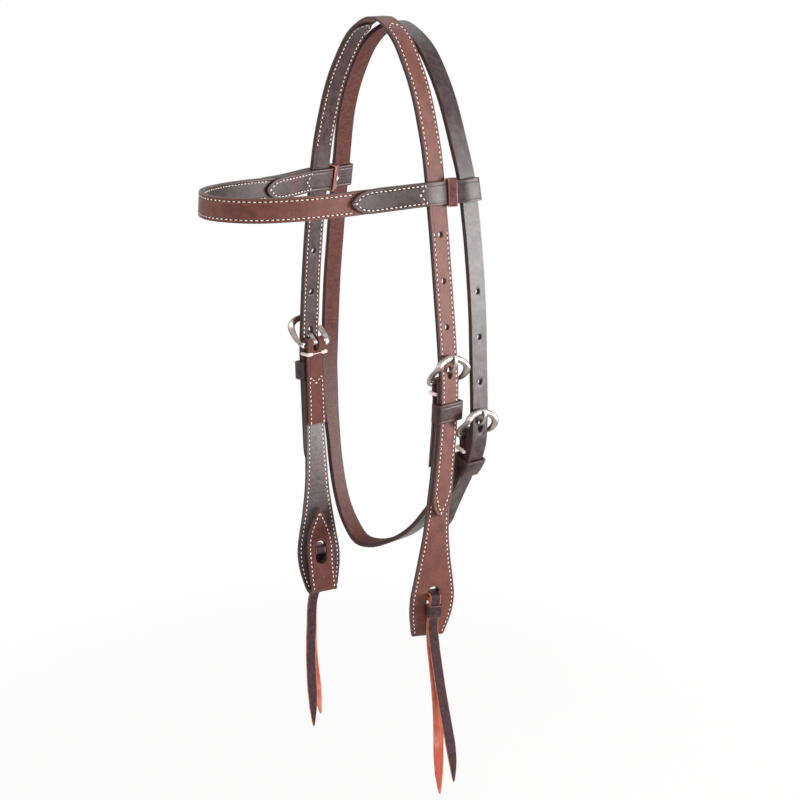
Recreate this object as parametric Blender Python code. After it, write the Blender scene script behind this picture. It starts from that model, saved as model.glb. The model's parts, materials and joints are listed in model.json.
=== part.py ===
# Western headstall: a browband bridle of leather straps with three buckles.
# Metres, +Z up. The horse faces -Y, and its near (left) side is +X.
# The origin is the poll seat, under the middle of the crown strap.
import math

import bmesh
import bpy
import numpy as np
from mathutils import Matrix, Vector

# Leather stock
crown_width = 0.0159
crown_ply = 0.0018
lining_ply = 0.0012
throat_width = 0.0146
throat_ply = 0.0033
browband_width = 0.0159
browband_ply = 0.0018
browband_lining_ply = 0.0019
loop_ply = 0.0018
keeper_ply = 0.0016
divider_ply = 0.0012
thong_width = 0.0078
thong_ply = 0.0017
wrap_ply = 0.0010
tack_thread = 0.0016

# Clearance between touching pieces, and what a sliding loop needs
piece_gap = 0.0003
loop_slack = 0.0008
loop_edge_gap = 0.0006
loop_travel = 0.0035
keeper_side_gap = 0.0024

# The head that the straps go round
head_half_width = 0.0767
spine_depth = 0.404
spine_set_forward = 0.008
apex_flat_half = 0.004

# Crown strap, measured along it from the apex
tail_reach = 0.3656
tail_taper = 0.018
first_hole = 0.1633
hole_pitch = 0.03175
hole_count = 4
punch_diameter = 0.0038
worn_hole_width = 0.0044
worn_hole_height = 0.0092
lining_start = 0.012
lining_taper = 0.009

# Buckles
bar_below_hole = 0.0066
bar_diameter = 0.003
frame_inner_width = 0.0214
frame_foot_width = 0.0282
frame_outer_width = 0.0330
frame_height = 0.0194
frame_shoulder = 0.0080
frame_rise_height = 0.0118
frame_foot = 0.0022
frame_lean = math.radians(8)
proud_power = 1.5
proud_swell = 0.8
bow_stand_off = 0.0028
throat_bow_stand_off = 0.0008
band_width = 0.0048
band_thickness = 0.0028
tongue_width = 0.0036
tongue_tip_width = 0.0026
tongue_thickness = 0.0015
tongue_ring = 0.0011
tongue_reach = 0.0190
slot_width = 0.005
slot_inside = 0.0065
slot_outside = 0.0032

# Cheek piece, measured from the buckle bar
keeper_below_bar = 0.0215
keeper_height = 0.0135
tack_below_bar = 0.0082
lining_below_bar = 0.0298
fold_leg = 0.0636
flare_below_bar = 0.035
bit_fold_below_bar = 0.1928
bit_fold_radius = 0.0022
paddle_half_width = 0.0167
bit_fold_half_width = 0.0112
flap_half_width = 0.0106
flap_length = 0.0638
bit_slot_below_bar = 0.1646
bit_slot_width = 0.0090
bit_slot_height = 0.019
bit_slot_corner = 0.0044
cheek_turn = math.radians(20)
cheek_turn_start = 0.030
cheek_turn_end = 0.150

# Tie lace
wrap_below_slot = 0.0076
wrap_height = 0.0092
wrap_width = 0.0118
tip_taper = 0.030
lace_bend = 0.0016

# Throat latch
throat_half_width = 0.0824
throat_under_drop = 0.1280
throat_drop = 0.0035
strap_side_gap = 0.0007
throat_set_back = 0.0050
throat_tail_reach = 0.3880
throat_first_hole = 0.2048
throat_keeper_below_bar = 0.0255
throat_keeper_height = 0.0130
throat_keeper_slack = 0.0008
throat_tack_below_bar = 0.0135
throat_fold_leg = 0.0345
throat_offset_run = 0.060
throat_tail_lift = 0.0160
throat_turn = math.radians(16)
throat_tail_taper = 0.010

# Browband
browband_drop = 0.1116
far_side_drop = 0.0052
browband_front_dip = 0.0015
browband_reach = 0.1454
browband_half_width = 0.0601
browband_lean = math.radians(4.5)
tab_length = 0.0600
tab_taper = 0.016
inner_tab_length = 0.0500
corner_radius = 0.0015
tack_diamond = 0.0040
tack_proud = 0.0006

# How finely the bends are cut
bend_step = 0.0048
step_growth = 1.17
long_step = 0.011
throat_long_step = 0.016
browband_step = 0.012
arc_steps = 8
leg_steps = 6
lace_bend_steps = 5
hole_sides = 10
cut_merge = 0.000001

# Routes, as shares of the head's sizes: sideways, forward, down
crown_route_shares = (
    (0.000, 0.00, 0.000), (0.236, 0.08, 0.0186), (0.477, 0.22, 0.0765),
    (0.716, 0.40, 0.191), (0.836, 0.56, 0.313), (0.920, 0.62, 0.435),
    (0.980, 0.58, 0.550), (1.000, 0.56, 0.606), (0.991, 0.58, 0.668),
    (0.957, 0.66, 0.755), (0.915, 0.75, 0.842), (0.887, 0.86, 0.921),
    (0.868, 0.95, 1.000), (0.842, 1.00, 1.040), (0.790, 1.04, 1.095),
)
# Sideways, back from the crown strap, down
throat_side_shares = (
    (0.000, 0.00, 0.000), (0.185, 0.02, 0.013), (0.368, 0.08, 0.042),
    (0.501, 0.14, 0.081), (0.603, 0.20, 0.121), (0.678, 0.28, 0.161),
    (0.735, 0.50, 0.202), (0.785, 0.80, 0.243), (0.856, 0.94, 0.327),
    (0.910, 0.96, 0.411), (0.954, 0.88, 0.496), (0.979, 0.78, 0.583),
    (1.000, 0.70, 0.671),
)
throat_near_shares = (
    (1.005, 0.62, 0.705), (0.996, 0.54, 0.736), (0.952, 0.38, 0.768),
    (0.846, 0.10, 0.804), (0.690, -0.24, 0.842), (0.505, -0.58, 0.884),
    (0.352, -0.89, 0.922), (0.223, -1.13, 0.946), (0.024, -1.33, 0.971),
    (-0.187, -1.49, 0.990),
)
throat_far_shares = (
    (-0.390, -1.50, 0.994), (-0.560, -1.19, 0.972), (-0.680, -0.90, 0.943),
    (-0.768, -0.65, 0.905), (-0.840, -0.35, 0.858), (-0.894, -0.05, 0.808),
    (-0.942, 0.22, 0.763), (-0.980, 0.50, 0.713),
)
# Along the loop from its buckle to the far side, and of the strap's turn
throat_turn_shares = ((0.00, 0.0), (0.40, 0.0), (0.70, 1.0), (0.86, 1.0), (1.00, 0.0))
throat_tail_power_share = 1.25
# Of the way down to the throat buckle, where the loop's straight side ends
throat_side_share = 0.8512
# Sideways and forward, from the front of the browband to its end
browband_route_shares = (
    (0.000, 1.000), (0.443, 0.917), (0.707, 0.743), (0.842, 0.545), (0.912, 0.341),
)

# Outlines, as shares of a taper's length and of the half width
tail_tip_shares = ((0.30, 0.95), (0.58, 0.78), (0.80, 0.52), (0.94, 0.26), (1.00, 0.08))
round_tip_shares = ((0.35, 0.93), (0.70, 0.66), (0.92, 0.32), (1.00, 0.10))
lace_tip_shares = ((0.45, 0.80), (0.80, 0.45), (1.00, 0.16))
# Along the flare from its start to the bit fold, and of the paddle's extra width
paddle_shares = (
    (0.00, 0.00), (0.34, 0.06), (0.50, 0.20), (0.63, 0.48), (0.735, 0.80),
    (0.820, 1.00), (0.900, 0.93), (1.00, 0.56),
)
# Along the flap from the bit fold to its tip, and of its half width
flap_shares = (
    (0.00, 0.97), (0.30, 0.98), (0.48, 1.00), (0.62, 0.93), (0.76, 0.70),
    (0.90, 0.34), (1.00, 0.03),
)
flap_rise_share = 1.8
# Along the tongue from its ring to its tip, and of its rise
tongue_shares = (
    (0.00, 0.0), (0.19, 0.32), (0.30, 0.60), (0.43, 0.82), (0.66, 0.965), (1.00, 1.0),
)

# Up each limb of the bow, from the bar to the shoulder
limb_shares = (0.0, 0.1, 0.3, 0.6, 0.85)

# Colours, roughness and metallic value of each finish
finishes = {
    "rough_out_leather": ((0.225, 0.082, 0.045), 0.85, 0.0),
    "dark_leather": ((0.060, 0.036, 0.036), 0.45, 0.0),
    "glossy_dark_leather": ((0.050, 0.024, 0.028), 0.25, 0.0),
    "burgundy_leather": ((0.100, 0.022, 0.022), 0.35, 0.0),
    "latigo": ((0.070, 0.028, 0.034), 0.50, 0.0),
    "thread": ((0.860, 0.720, 0.640), 0.70, 0.0),
    "nickel": ((0.600, 0.580, 0.550), 0.30, 1.0),
}


# Scene set-up

def clear_scene():
    for found in list(bpy.data.objects):
        bpy.data.objects.remove(found, do_unlink=True)


def new_collection(name):
    collection = bpy.data.collections.new(name)
    bpy.context.scene.collection.children.link(collection)
    return collection


clear_scene()
parts = new_collection("western_headstall")
cutters = new_collection("cutters_and_guides")


def finish_material(finish):
    found = bpy.data.materials.get(finish)
    if found:
        return found
    colour, roughness, metallic = finishes[finish]
    material = bpy.data.materials.new(finish)
    material.use_nodes = True
    shader = material.node_tree.nodes["Principled BSDF"]
    shader.inputs["Base Color"].default_value = (*colour, 1.0)
    shader.inputs["Roughness"].default_value = roughness
    shader.inputs["Metallic"].default_value = metallic
    return material


def own_material(name, finish):
    material = finish_material(finish).copy()
    material.name = f"{name}_{finish}"
    return material


# Curves in space

def smooth_line(points, samples=40):
    """A smooth curve through the points, as close samples and the length at each."""
    points = np.array(points, float)
    spans = np.linalg.norm(np.diff(points, axis=0), axis=1)
    rates = np.diff(points, axis=0) / spans[:, None]
    slopes = np.empty_like(points)
    slopes[0] = rates[0]
    slopes[-1] = rates[-1]
    before, after = spans[:-1, None], spans[1:, None]
    slopes[1:-1] = (rates[:-1] * after + rates[1:] * before) / (before + after)
    line = [points[0]]
    for k, span in enumerate(spans):
        for step in range(1, samples + 1):
            f = step / samples
            line.append(
                (2 * f**3 - 3 * f**2 + 1) * points[k]
                + (f**3 - 2 * f**2 + f) * span * slopes[k]
                + (3 * f**2 - 2 * f**3) * points[k + 1]
                + (f**3 - f**2) * span * slopes[k + 1]
            )
    line = np.array(line)
    steps = np.linalg.norm(np.diff(line, axis=0), axis=1)
    return line, np.concatenate(([0.0], np.cumsum(steps)))


def unit(vector):
    vector = np.asarray(vector, float)
    return vector / np.linalg.norm(vector)


def ease(share):
    share = min(max(share, 0.0), 1.0)
    return share * share * (3 - 2 * share)


class Route:
    """Stations along a strap's path, with straight runs between them."""

    def __init__(self, along, points, outward, across):
        self.along = np.array(along, float)
        self.points = np.array(points, float)
        self.outward = np.array(outward, float)
        self.across = np.array(across, float)

    def place(self, u, w, t):
        """The point at u along, w across and t outward of the route."""
        k = int(np.clip(np.searchsorted(self.along, u) - 1, 0, len(self.along) - 2))
        f = (u - self.along[k]) / (self.along[k + 1] - self.along[k])
        start = self.points[k] + w * self.across[k] + t * self.outward[k]
        end = self.points[k + 1] + w * self.across[k + 1] + t * self.outward[k + 1]
        return (1 - f) * start + f * end

    def axes(self, u):
        """Along, outward and across at u, each of unit length."""
        k = int(np.clip(np.searchsorted(self.along, u) - 1, 0, len(self.along) - 2))
        f = (u - self.along[k]) / (self.along[k + 1] - self.along[k])
        outward = unit((1 - f) * self.outward[k] + f * self.outward[k + 1])
        across = unit((1 - f) * self.across[k] + f * self.across[k + 1])
        return unit(np.cross(across, outward)) * self.sense(k), outward, across

    def sense(self, k):
        forward = self.points[k + 1] - self.points[k]
        side = np.cross(self.across[k], self.outward[k])
        return 1.0 if np.dot(forward, side) > 0 else -1.0

    def between(self, low, high):
        """The stations strictly between two lengths."""
        inside = (self.along > low + cut_merge) & (self.along < high - cut_merge)
        return [float(u) for u in self.along[inside]]


def route_through(points, marks, start, across_at):
    """A route on the smooth curve through the points, with stations at the marks.

    start is the mark at the curve's first point; across_at gives the width's way.
    """
    line, lengths = smooth_line(points)
    lengths = lengths + start
    slopes = np.gradient(line, lengths, axis=0)
    along, centres, outward, across = [], [], [], []
    for mark in marks:
        centre = np.array([np.interp(mark, lengths, line[:, i]) for i in range(3)])
        tangent = unit([np.interp(mark, lengths, slopes[:, i]) for i in range(3)])
        wide = np.asarray(across_at(mark), float)
        wide = unit(wide - tangent * np.dot(wide, tangent))
        along.append(mark)
        centres.append(centre)
        outward.append(np.cross(tangent, wide))
        across.append(wide)
    return Route(along, centres, outward, across)


def growing_marks(first, reach, longest):
    """Marks from a first one outward, whose steps grow to the longest."""
    marks = [first]
    step = bend_step
    while marks[-1] + step < reach:
        marks.append(marks[-1] + step)
        step = min(step * step_growth, longest)
    return marks + [reach]


# Solids in flat (u, w, t) space, then bent along a route

def link(name, mesh, finish, collection=parts, smooth_angle=None):
    piece = bpy.data.objects.new(name, mesh)
    collection.objects.link(piece)
    piece.data.materials.clear()
    piece.data.materials.append(own_material(name, finish))
    if smooth_angle:
        mesh.shade_smooth()
        mesh.set_sharp_from_angle(angle=smooth_angle)
    return piece


def curve_mesh(name, curve):
    """The mesh of a curve's evaluated object, its caps welded on."""
    holder = bpy.data.objects.new(name, curve)
    cutters.objects.link(holder)
    bpy.context.view_layer.update()
    evaluated = holder.evaluated_get(bpy.context.evaluated_depsgraph_get())
    mesh = bpy.data.meshes.new_from_object(evaluated)
    bpy.data.objects.remove(holder, do_unlink=True)
    bm = bmesh.new()
    bm.from_mesh(mesh)
    bmesh.ops.remove_doubles(bm, verts=bm.verts, dist=cut_merge)
    return mesh, bm


def flat_solid(name, rings, thickness):
    """A flat outline, with holes after the first ring, of even thickness."""
    curve = bpy.data.curves.new(name, "CURVE")
    curve.dimensions = "2D"
    curve.fill_mode = "BOTH"
    curve.extrude = thickness / 2
    for ring in rings:
        spline = curve.splines.new("POLY")
        spline.points.add(len(ring) - 1)
        for point, (u, w) in zip(spline.points, ring):
            point.co = (u, w, 0.0, 1.0)
        spline.use_cyclic_u = True
    return curve_mesh(name, curve)


def cross_cut(bm, marks):
    """Cut the flat solid square across at each mark, then into triangles."""
    flat = math.radians(1.0)
    bmesh.ops.dissolve_limit(bm, angle_limit=flat, verts=bm.verts, edges=bm.edges)
    for mark in marks:
        every = bm.verts[:] + bm.edges[:] + bm.faces[:]
        plane = {"plane_co": (mark, 0, 0), "plane_no": (1, 0, 0)}
        bmesh.ops.bisect_plane(bm, geom=every, dist=cut_merge, **plane)
    bmesh.ops.triangulate(bm, faces=bm.faces)


def store(mesh, bm, mirrored):
    """Write the solid to its mesh, on its own side and with its faces out."""
    if mirrored:
        for vertex in bm.verts:
            vertex.co.x = -vertex.co.x
    if bm.calc_volume(signed=True) < 0:
        bmesh.ops.reverse_faces(bm, faces=bm.faces)
    bm.to_mesh(mesh)
    bm.free()


def finish_bmesh(name, mesh, bm, finish, mirrored, smooth_angle=None):
    store(mesh, bm, mirrored)
    return link(name, mesh, finish, smooth_angle=smooth_angle)


def strap(name, rings, route, low, high, finish, mirrored=False):
    """A leather piece cut flat from its rings, then bent along its route.

    It fills the route's space from low to high outward.
    """
    mesh, bm = flat_solid(name, rings, high - low)
    ends = [u for u, w in rings[0]]
    cross_cut(bm, route.between(min(ends), max(ends)))
    middle = (low + high) / 2
    for vertex in bm.verts:
        u, w, t = vertex.co
        vertex.co = Vector(route.place(u, w, t + middle))
    return finish_bmesh(name, mesh, bm, finish, mirrored)


def set_origin(piece, point, mirrored=False):
    """Put the piece's own origin at a point, with its shape left where it is."""
    point = Vector(point)
    if mirrored:
        point.x = -point.x
    piece.data.transform(Matrix.Translation(-point))
    piece.location = point


def placed_solid(name, mesh, bm, place, finish, mirrored=False, smooth_angle=None):
    """A solid whose own coordinates a function turns into places."""
    bmesh.ops.triangulate(bm, faces=bm.faces)
    for vertex in bm.verts:
        vertex.co = Vector(place(*vertex.co))
    return finish_bmesh(name, mesh, bm, finish, mirrored, smooth_angle)


# Outlines in the flat

def taper(end, way, length, half_width, shares):
    """One edge of a tapered end, from full width to its tip, on both sides."""
    base = end - way * length
    edge = [(base + way * length * along, half_width * wide) for along, wide in shares]
    return [(base, half_width)] + edge


def band_outline(low, high, half_width, low_end=None, high_end=None):
    """A strip from low to high, square or tapered at each end."""
    upper = []
    if low_end:
        upper += taper(low, -1, low_end[0], half_width, low_end[1])[::-1]
    else:
        upper += [(low, half_width)]
    if high_end:
        upper += taper(high, 1, high_end[0], half_width, high_end[1])
    else:
        upper += [(high, half_width)]
    return upper + [(u, -w) for u, w in upper[::-1]]


def oval(u, w, length, width, sides=None):
    sides = sides or hole_sides
    turns = [2 * math.pi * (k + 0.5) / sides for k in range(sides)]
    return [(u + length / 2 * math.cos(a), w + width / 2 * math.sin(a)) for a in turns]


def slot(u, w, length, width, sides=5):
    """A long hole with round ends."""
    reach = (length - width) / 2
    ring = []
    for side in (1, -1):
        for k in range(sides + 1):
            a = math.pi * (k / sides - 0.5)
            ring.append((
                u + side * (reach + width / 2 * math.cos(a)),
                w + side * width / 2 * math.sin(a),
            ))
    return ring


def rounded_box(low_a, high_a, low_b, high_b, radius, sides=3):
    """A box outline with round corners."""
    corners = (
        (high_a - radius, high_b - radius, 0.0), (low_a + radius, high_b - radius, 0.5),
        (low_a + radius, low_b + radius, 1.0), (high_a - radius, low_b + radius, 1.5),
    )
    ring = []
    for a, b, quarter in corners:
        for k in range(sides + 1):
            turn = math.pi * (quarter + 0.5 * k / sides)
            ring.append((a + radius * math.cos(turn), b + radius * math.sin(turn)))
    return ring


# The crown strap's route, from its far tail over the poll to its near tail

cheek_face = -(piece_gap + lining_ply + piece_gap)
cheek_seam = cheek_face - crown_ply - piece_gap / 2
hole_in_use = first_hole + (hole_count - 1) * hole_pitch
bar_place = hole_in_use + bar_below_hole
bit_fold = bar_place + bit_fold_below_bar
spine_reach = bit_fold + 2 * bit_fold_radius


def crown_points(side):
    return [
        (side * x * head_half_width, -y * spine_set_forward, -z * spine_depth)
        for x, y, z in crown_route_shares
    ]


near_marks = growing_marks(apex_flat_half, spine_reach, long_step)
crown_marks = [-mark for mark in near_marks[::-1]] + near_marks
crown_line = crown_points(-1)[:0:-1] + crown_points(1)
half_length = smooth_line(crown_line)[1][-1] / 2


def crown_across(mark):
    """The strap's width, with both cheeks' lower ends turned the same way."""
    start = bar_place + cheek_turn_start
    share = (abs(mark) - start) / (cheek_turn_end - cheek_turn_start)
    turn = cheek_turn * ease(share)
    return (math.sin(turn), math.cos(turn), 0.0)


crown = route_through(crown_line, crown_marks, -half_length, crown_across)
crown.points[:, 2] -= crown.place(0, 0, 0)[2]
crown.points[:, 1] -= crown.place(0, 0, 0)[1]
flips = {"near": np.array([1.0, 1.0, 1.0]), "far": np.array([-1.0, 1.0, 1.0])}
is_far_side = crown.along < 0
spines = {
    "near": crown,
    "far": Route(
        -crown.along[is_far_side][::-1],
        crown.points[is_far_side][::-1] * flips["far"],
        crown.outward[is_far_side][::-1] * flips["far"],
        crown.across[is_far_side][::-1] * flips["far"],
    ),
}


def crown_hole(side, number):
    return side * (first_hole + number * hole_pitch)


def crown_holes(low, high):
    """The strap's punched holes between two places, the last one worn long."""
    rings = []
    for side in (-1, 1):
        for number in range(hole_count):
            u = crown_hole(side, number)
            if not low < u < high:
                continue
            if number == hole_count - 1:
                rings.append(oval(u, 0, worn_hole_height, worn_hole_width))
            else:
                rings.append(oval(u, 0, punch_diameter, punch_diameter))
    return rings


def make_crown():
    half = crown_width / 2
    tail = (tail_taper, tail_tip_shares)
    outline = band_outline(-tail_reach, tail_reach, half, tail, tail)
    rings = [outline] + crown_holes(-tail_reach, tail_reach)
    strap("crown_outer_ply", rings, crown, 0, crown_ply, "rough_out_leather")
    tip = (lining_taper, round_tip_shares)
    rings = [band_outline(lining_start, tail_reach, half, tip, tail)]
    rings += crown_holes(lining_start, tail_reach)
    for side, mirrored in (("near", False), ("far", True)):
        name = f"crown_lining_{side}"
        top = -piece_gap
        route = spines[side]
        strap(name, rings, route, top - lining_ply, top, "dark_leather", mirrored)


# A buckle end: the strap's leg folded over a bar, in a spine's (s, n) space

def path_route(spine, path):
    """A route through (s, n, ds, dn) stations given on a spine.

    ds and dn are the way along; the outward side is to the left of it.
    """
    along, points, outward, across = [], [], [], []
    previous = None
    for s, n, ds, dn in path:
        down, out, wide = spine.axes(s)
        if previous is None:
            along.append(0.0)
        else:
            along.append(along[-1] + math.hypot(s - previous[0], n - previous[1]))
        previous = (s, n)
        size = math.hypot(ds, dn)
        points.append(spine.place(s, 0, n))
        outward.append((-dn / size) * down + (ds / size) * out)
        across.append(wide)
    return Route(along, points, outward, across)


def over_bar(s, n, radius):
    """The turn over a bar, from the inside leg to the outside leg."""
    turn = []
    for k in range(arc_steps + 1):
        a = math.pi * (1 - k / arc_steps)
        turn.append((
            s - radius * math.sin(a), n + radius * math.cos(a), math.cos(a), math.sin(a),
        ))
    return turn


def under_loop(s, n, radius):
    """The turn under a loop, from the outside leg to the inside leg."""
    turn = []
    for k in range(arc_steps + 1):
        a = math.pi * k / arc_steps
        turn.append((s + radius * math.sin(a), n + radius * math.cos(a),
                     math.cos(a), -math.sin(a)))
    return turn


def leg_depth(s, bar_s, bend_start, n_low, n_high):
    """How far out the inside leg's middle is, beside a place on the strap."""
    share = (bend_start - s) / (bend_start - bar_s)
    return n_low + (n_high - n_low) * ease(share)


def leg_up(spine, low, high, n_low, n_high, bend_start):
    """An inside leg from its lower end up to the bar, drawn in below bend_start."""
    run = [low] + spine.between(high, low)[::-1]
    run += [bend_start - (bend_start - high) * k / leg_steps for k in range(leg_steps)]
    path = []
    for s in sorted(set(run), reverse=True):
        share = (bend_start - s) / (bend_start - high)
        n = leg_depth(s, high, bend_start, n_low, n_high)
        slope = 6 * share * (1 - share) if 0 < share < 1 else 0.0
        path.append((s, n, -1.0, slope * (n_high - n_low) / (bend_start - high)))
    return path


# The cheek's route lies between its two plies

cheek_bar_radius = bar_diameter / 2 + piece_gap - piece_gap / 2
cheek_bar = cheek_seam - cheek_bar_radius
keeper_seam = (
    cheek_seam - piece_gap / 2 - keeper_ply - 2 * piece_gap + piece_gap / 2
)
keeper_place = bar_place + keeper_below_bar
fold_end = bar_place + fold_leg
flap_top = bit_fold - flap_length
flap_seam_top = cheek_seam - 2 * (piece_gap / 2 + lining_ply) - piece_gap


def cheek_path():
    keeper_top = keeper_place - keeper_height / 2 - piece_gap
    inside = cheek_bar - cheek_bar_radius
    path = leg_up(crown, fold_end, bar_place, keeper_seam, inside, keeper_top)
    path += over_bar(bar_place, cheek_bar, cheek_bar_radius)
    path += [(s, cheek_seam, 1.0, 0.0) for s in crown.between(bar_place, bit_fold)]
    fold_centre = cheek_seam - bit_fold_radius
    path += under_loop(bit_fold, fold_centre, bit_fold_radius)
    bottom = fold_centre - bit_fold_radius
    rise = flap_seam_top - bottom
    stops = crown.between(flap_top, bit_fold)[::-1] + [flap_top]
    for s in stops:
        share = (bit_fold - s) / flap_length
        slope = flap_rise_share * share ** (flap_rise_share - 1) * rise / flap_length
        path.append((s, bottom + rise * share**flap_rise_share, -1.0, slope))
    return path


cheek_stations = cheek_path()
first_outside = next(k for k, p in enumerate(cheek_stations) if p[2] > 0.5 and p[3] == 0)
cheeks = {side: path_route(spine, cheek_stations) for side, spine in spines.items()}
for route in cheeks.values():
    route.along += cheek_stations[first_outside][0] - route.along[first_outside]
cheek = cheeks["near"]
over_bar_place = bar_place - math.pi / 2 * cheek_bar_radius
flap_foot = bit_fold + math.pi * bit_fold_radius


def flap_place(s):
    """How far along the cheek the flap is beside a place on the outside leg."""
    seen = [(u, p[0]) for u, p in zip(cheek.along, cheek_stations) if u >= flap_foot]
    seen.sort(key=lambda pair: pair[1])
    return float(np.interp(s, [p[1] for p in seen], [p[0] for p in seen]))


def edge_points(shares, low, high, base, extra, steps=3):
    """A smooth edge through shares of a length and of a width."""
    points = [(low + (high - low) * a, base + extra * b, 0.0) for a, b in shares]
    line, lengths = smooth_line(points, steps)
    return [(float(p[0]), float(p[1])) for p in line]


def cheek_edge(start):
    """The cheek's edge from a start above the flare to the flap's tip."""
    half = crown_width / 2
    flare = bar_place + flare_below_bar
    edge = [(start, half)]
    edge += edge_points(
        paddle_shares, flare, bit_fold, half, paddle_half_width - half
    )
    top = float(cheek.along[-1])
    edge.append(((bit_fold + flap_foot) / 2, bit_fold_half_width))
    edge += edge_points(flap_shares, flap_foot, top, 0.0, flap_half_width)
    return edge


def both_edges(edge):
    return edge + [(u, -w) for u, w in edge[::-1]]


def bit_slots():
    """The lace's slots, in the outer wall and in the flap."""
    wall = bar_place + bit_slot_below_bar
    half, wide = bit_slot_height / 2, bit_slot_width / 2
    middles = (wall, flap_place(wall))
    return [
        rounded_box(u - half, u + half, -wide, wide, bit_slot_corner) for u in middles
    ]


def tongue_slot():
    low = over_bar_place - slot_inside - cheek_bar_radius * math.pi / 2
    high = bar_place + slot_outside
    return slot((low + high) / 2, 0, high - low, slot_width)


def make_cheek(side, mirrored):
    seam = piece_gap / 2
    rings = [both_edges(cheek_edge(float(cheek.along[0])))]
    rings += bit_slots() + [tongue_slot()]
    name = f"{side}_cheek_outer_ply"
    route = cheeks[side]
    strap(name, rings, route, seam, seam + crown_ply, "rough_out_leather", mirrored)
    rings = [both_edges(cheek_edge(bar_place + lining_below_bar))] + bit_slots()
    name = f"{side}_cheek_lining"
    strap(name, rings, route, -seam - lining_ply, -seam, "dark_leather", mirrored)


# Keepers and tacks

def ring_solid(name, rings, place, height, finish, mirrored=False, cuts=()):
    """A closed band: two outlines in (n, w), as tall as its height along.

    It is cut square across at the cuts, which are lengths from its middle.
    """
    mesh, bm = flat_solid(name, rings, height)
    for cut in cuts:
        every = bm.verts[:] + bm.edges[:] + bm.faces[:]
        plane = {"plane_co": (0, 0, cut), "plane_no": (0, 0, 1)}
        bmesh.ops.bisect_plane(bm, geom=every, dist=cut_merge, **plane)
    return placed_solid(name, mesh, bm, place, finish, mirrored)


def keeper(name, spine, middle, height, low, high, half_width, mirrored=False):
    """A keeper round all that lies from low to high and within its half width."""
    round_in = keeper_ply / 2
    inner = rounded_box(low, high, -half_width, half_width, round_in)
    grow = keeper_ply
    outer = rounded_box(
        low - grow, high + grow, -half_width - grow, half_width + grow, round_in + grow
    )

    def place(n, w, t):
        return spine.place(middle + t, w, n)

    bends = spine.between(middle - height / 2, middle + height / 2)
    cuts = [bend - middle for bend in bends]
    rings = [outer, inner]
    return ring_solid(name, rings, place, height, "dark_leather", mirrored, cuts)


def tube(name, points, diameter, finish, mirrored=False):
    curve = bpy.data.curves.new(name, "CURVE")
    curve.dimensions = "3D"
    curve.bevel_depth = diameter / 2
    curve.bevel_resolution = 2
    curve.use_fill_caps = True
    spline = curve.splines.new("POLY")
    spline.points.add(len(points) - 1)
    for point, place in zip(spline.points, points):
        point.co = (*place, 1.0)
    mesh, bm = curve_mesh(name, curve)
    return finish_bmesh(name, mesh, bm, finish, mirrored, math.radians(50))


def edge_tack(name, spine, place, half_width, inside, outside, mirrored=False):
    """A thick thread on the inside of a folded leg, turned over both edges."""
    reach = half_width + piece_gap + tack_thread / 2
    depth = inside - piece_gap - tack_thread / 2
    soft = tack_thread / 2
    corners = [
        (-reach, outside), (-reach, depth + soft), (-reach + soft, depth),
        (reach - soft, depth), (reach, depth + soft), (reach, outside),
    ]
    points = [spine.place(place, w, n) for w, n in corners]
    tube(name, points, tack_thread, "thread", mirrored)


def make_cheek_trim(side, mirrored):
    half = crown_width / 2
    low = cheek_seam
    high = crown_ply + piece_gap
    side_half = half + keeper_side_gap
    name = f"{side}_cheek_keeper"
    spine = spines[side]
    keeper(name, spine, keeper_place, keeper_height, low, high, side_half, mirrored)
    bend = keeper_place - keeper_height / 2 - piece_gap
    place = bar_place + tack_below_bar
    bar_side = cheek_bar - cheek_bar_radius
    leg = leg_depth(place - tack_thread, bar_place, bend, keeper_seam, bar_side)
    inside = leg - piece_gap / 2 - crown_ply
    name = f"{side}_bar_tack"
    edge_tack(name, spine, place, half, inside, cheek_face - piece_gap, mirrored)


# Buckles: a half-round bow and its bar in one, and a tongue curled on the bar

def bow_half(foot, reach, top, feet):
    """One edge of the bow from its foot over the top to the other foot, as (v, w)."""
    half = [
        (frame_shoulder * share, foot + (reach - foot) * math.sin(share * math.pi / 2))
        for share in limb_shares
    ]
    arc = [
        (frame_shoulder + (top - frame_shoulder) * math.sin(a), reach * math.cos(a))
        for a in (math.pi * k / feet for k in range(feet + 1))
    ]
    return half + arc + [(v, -w) for v, w in half[::-1]]


def frame_rings():
    """The bow's outline and its opening, as v above the bar and w across."""
    feet = 14
    foot, outer, inner = frame_foot_width / 2, frame_outer_width / 2, frame_inner_width / 2
    low = [(-frame_foot, foot - frame_foot)]
    outside = low + bow_half(foot, outer, frame_height, feet) + [(v, -w) for v, w in low]
    low = [(-frame_foot, inner)]
    inside = low + bow_half(inner, inner, frame_height - band_width, feet)
    return outside, inside + [(v, -w) for v, w in low]


def frame_outline():
    """The bow as one open band: out along its outside, back along its inside."""
    outside, inside = frame_rings()
    return outside + inside[::-1]


def bow_rise(v, w, rise, proud):
    """How far outward the frame has risen at v above its bar, and how thick it is there.

    The side that proud names rises at once, and its steep foot is thicker.
    """
    share = min(max(v / frame_rise_height, 0.0), 1.0)
    if w * proud <= 0:
        return rise * ease(share), 1.0
    up = (1 - (1 - share) ** proud_power) ** (1 / proud_power)
    return rise * up, 1 + proud_swell * (1 - share)


def bow_lean(v, w):
    """The bow sits askew on its bar: its rear side is the lower one."""
    share = 1.0 if w > 0 else ease((v + frame_foot) / (frame_shoulder + frame_foot))
    return v - w * math.tan(frame_lean) * share


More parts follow.
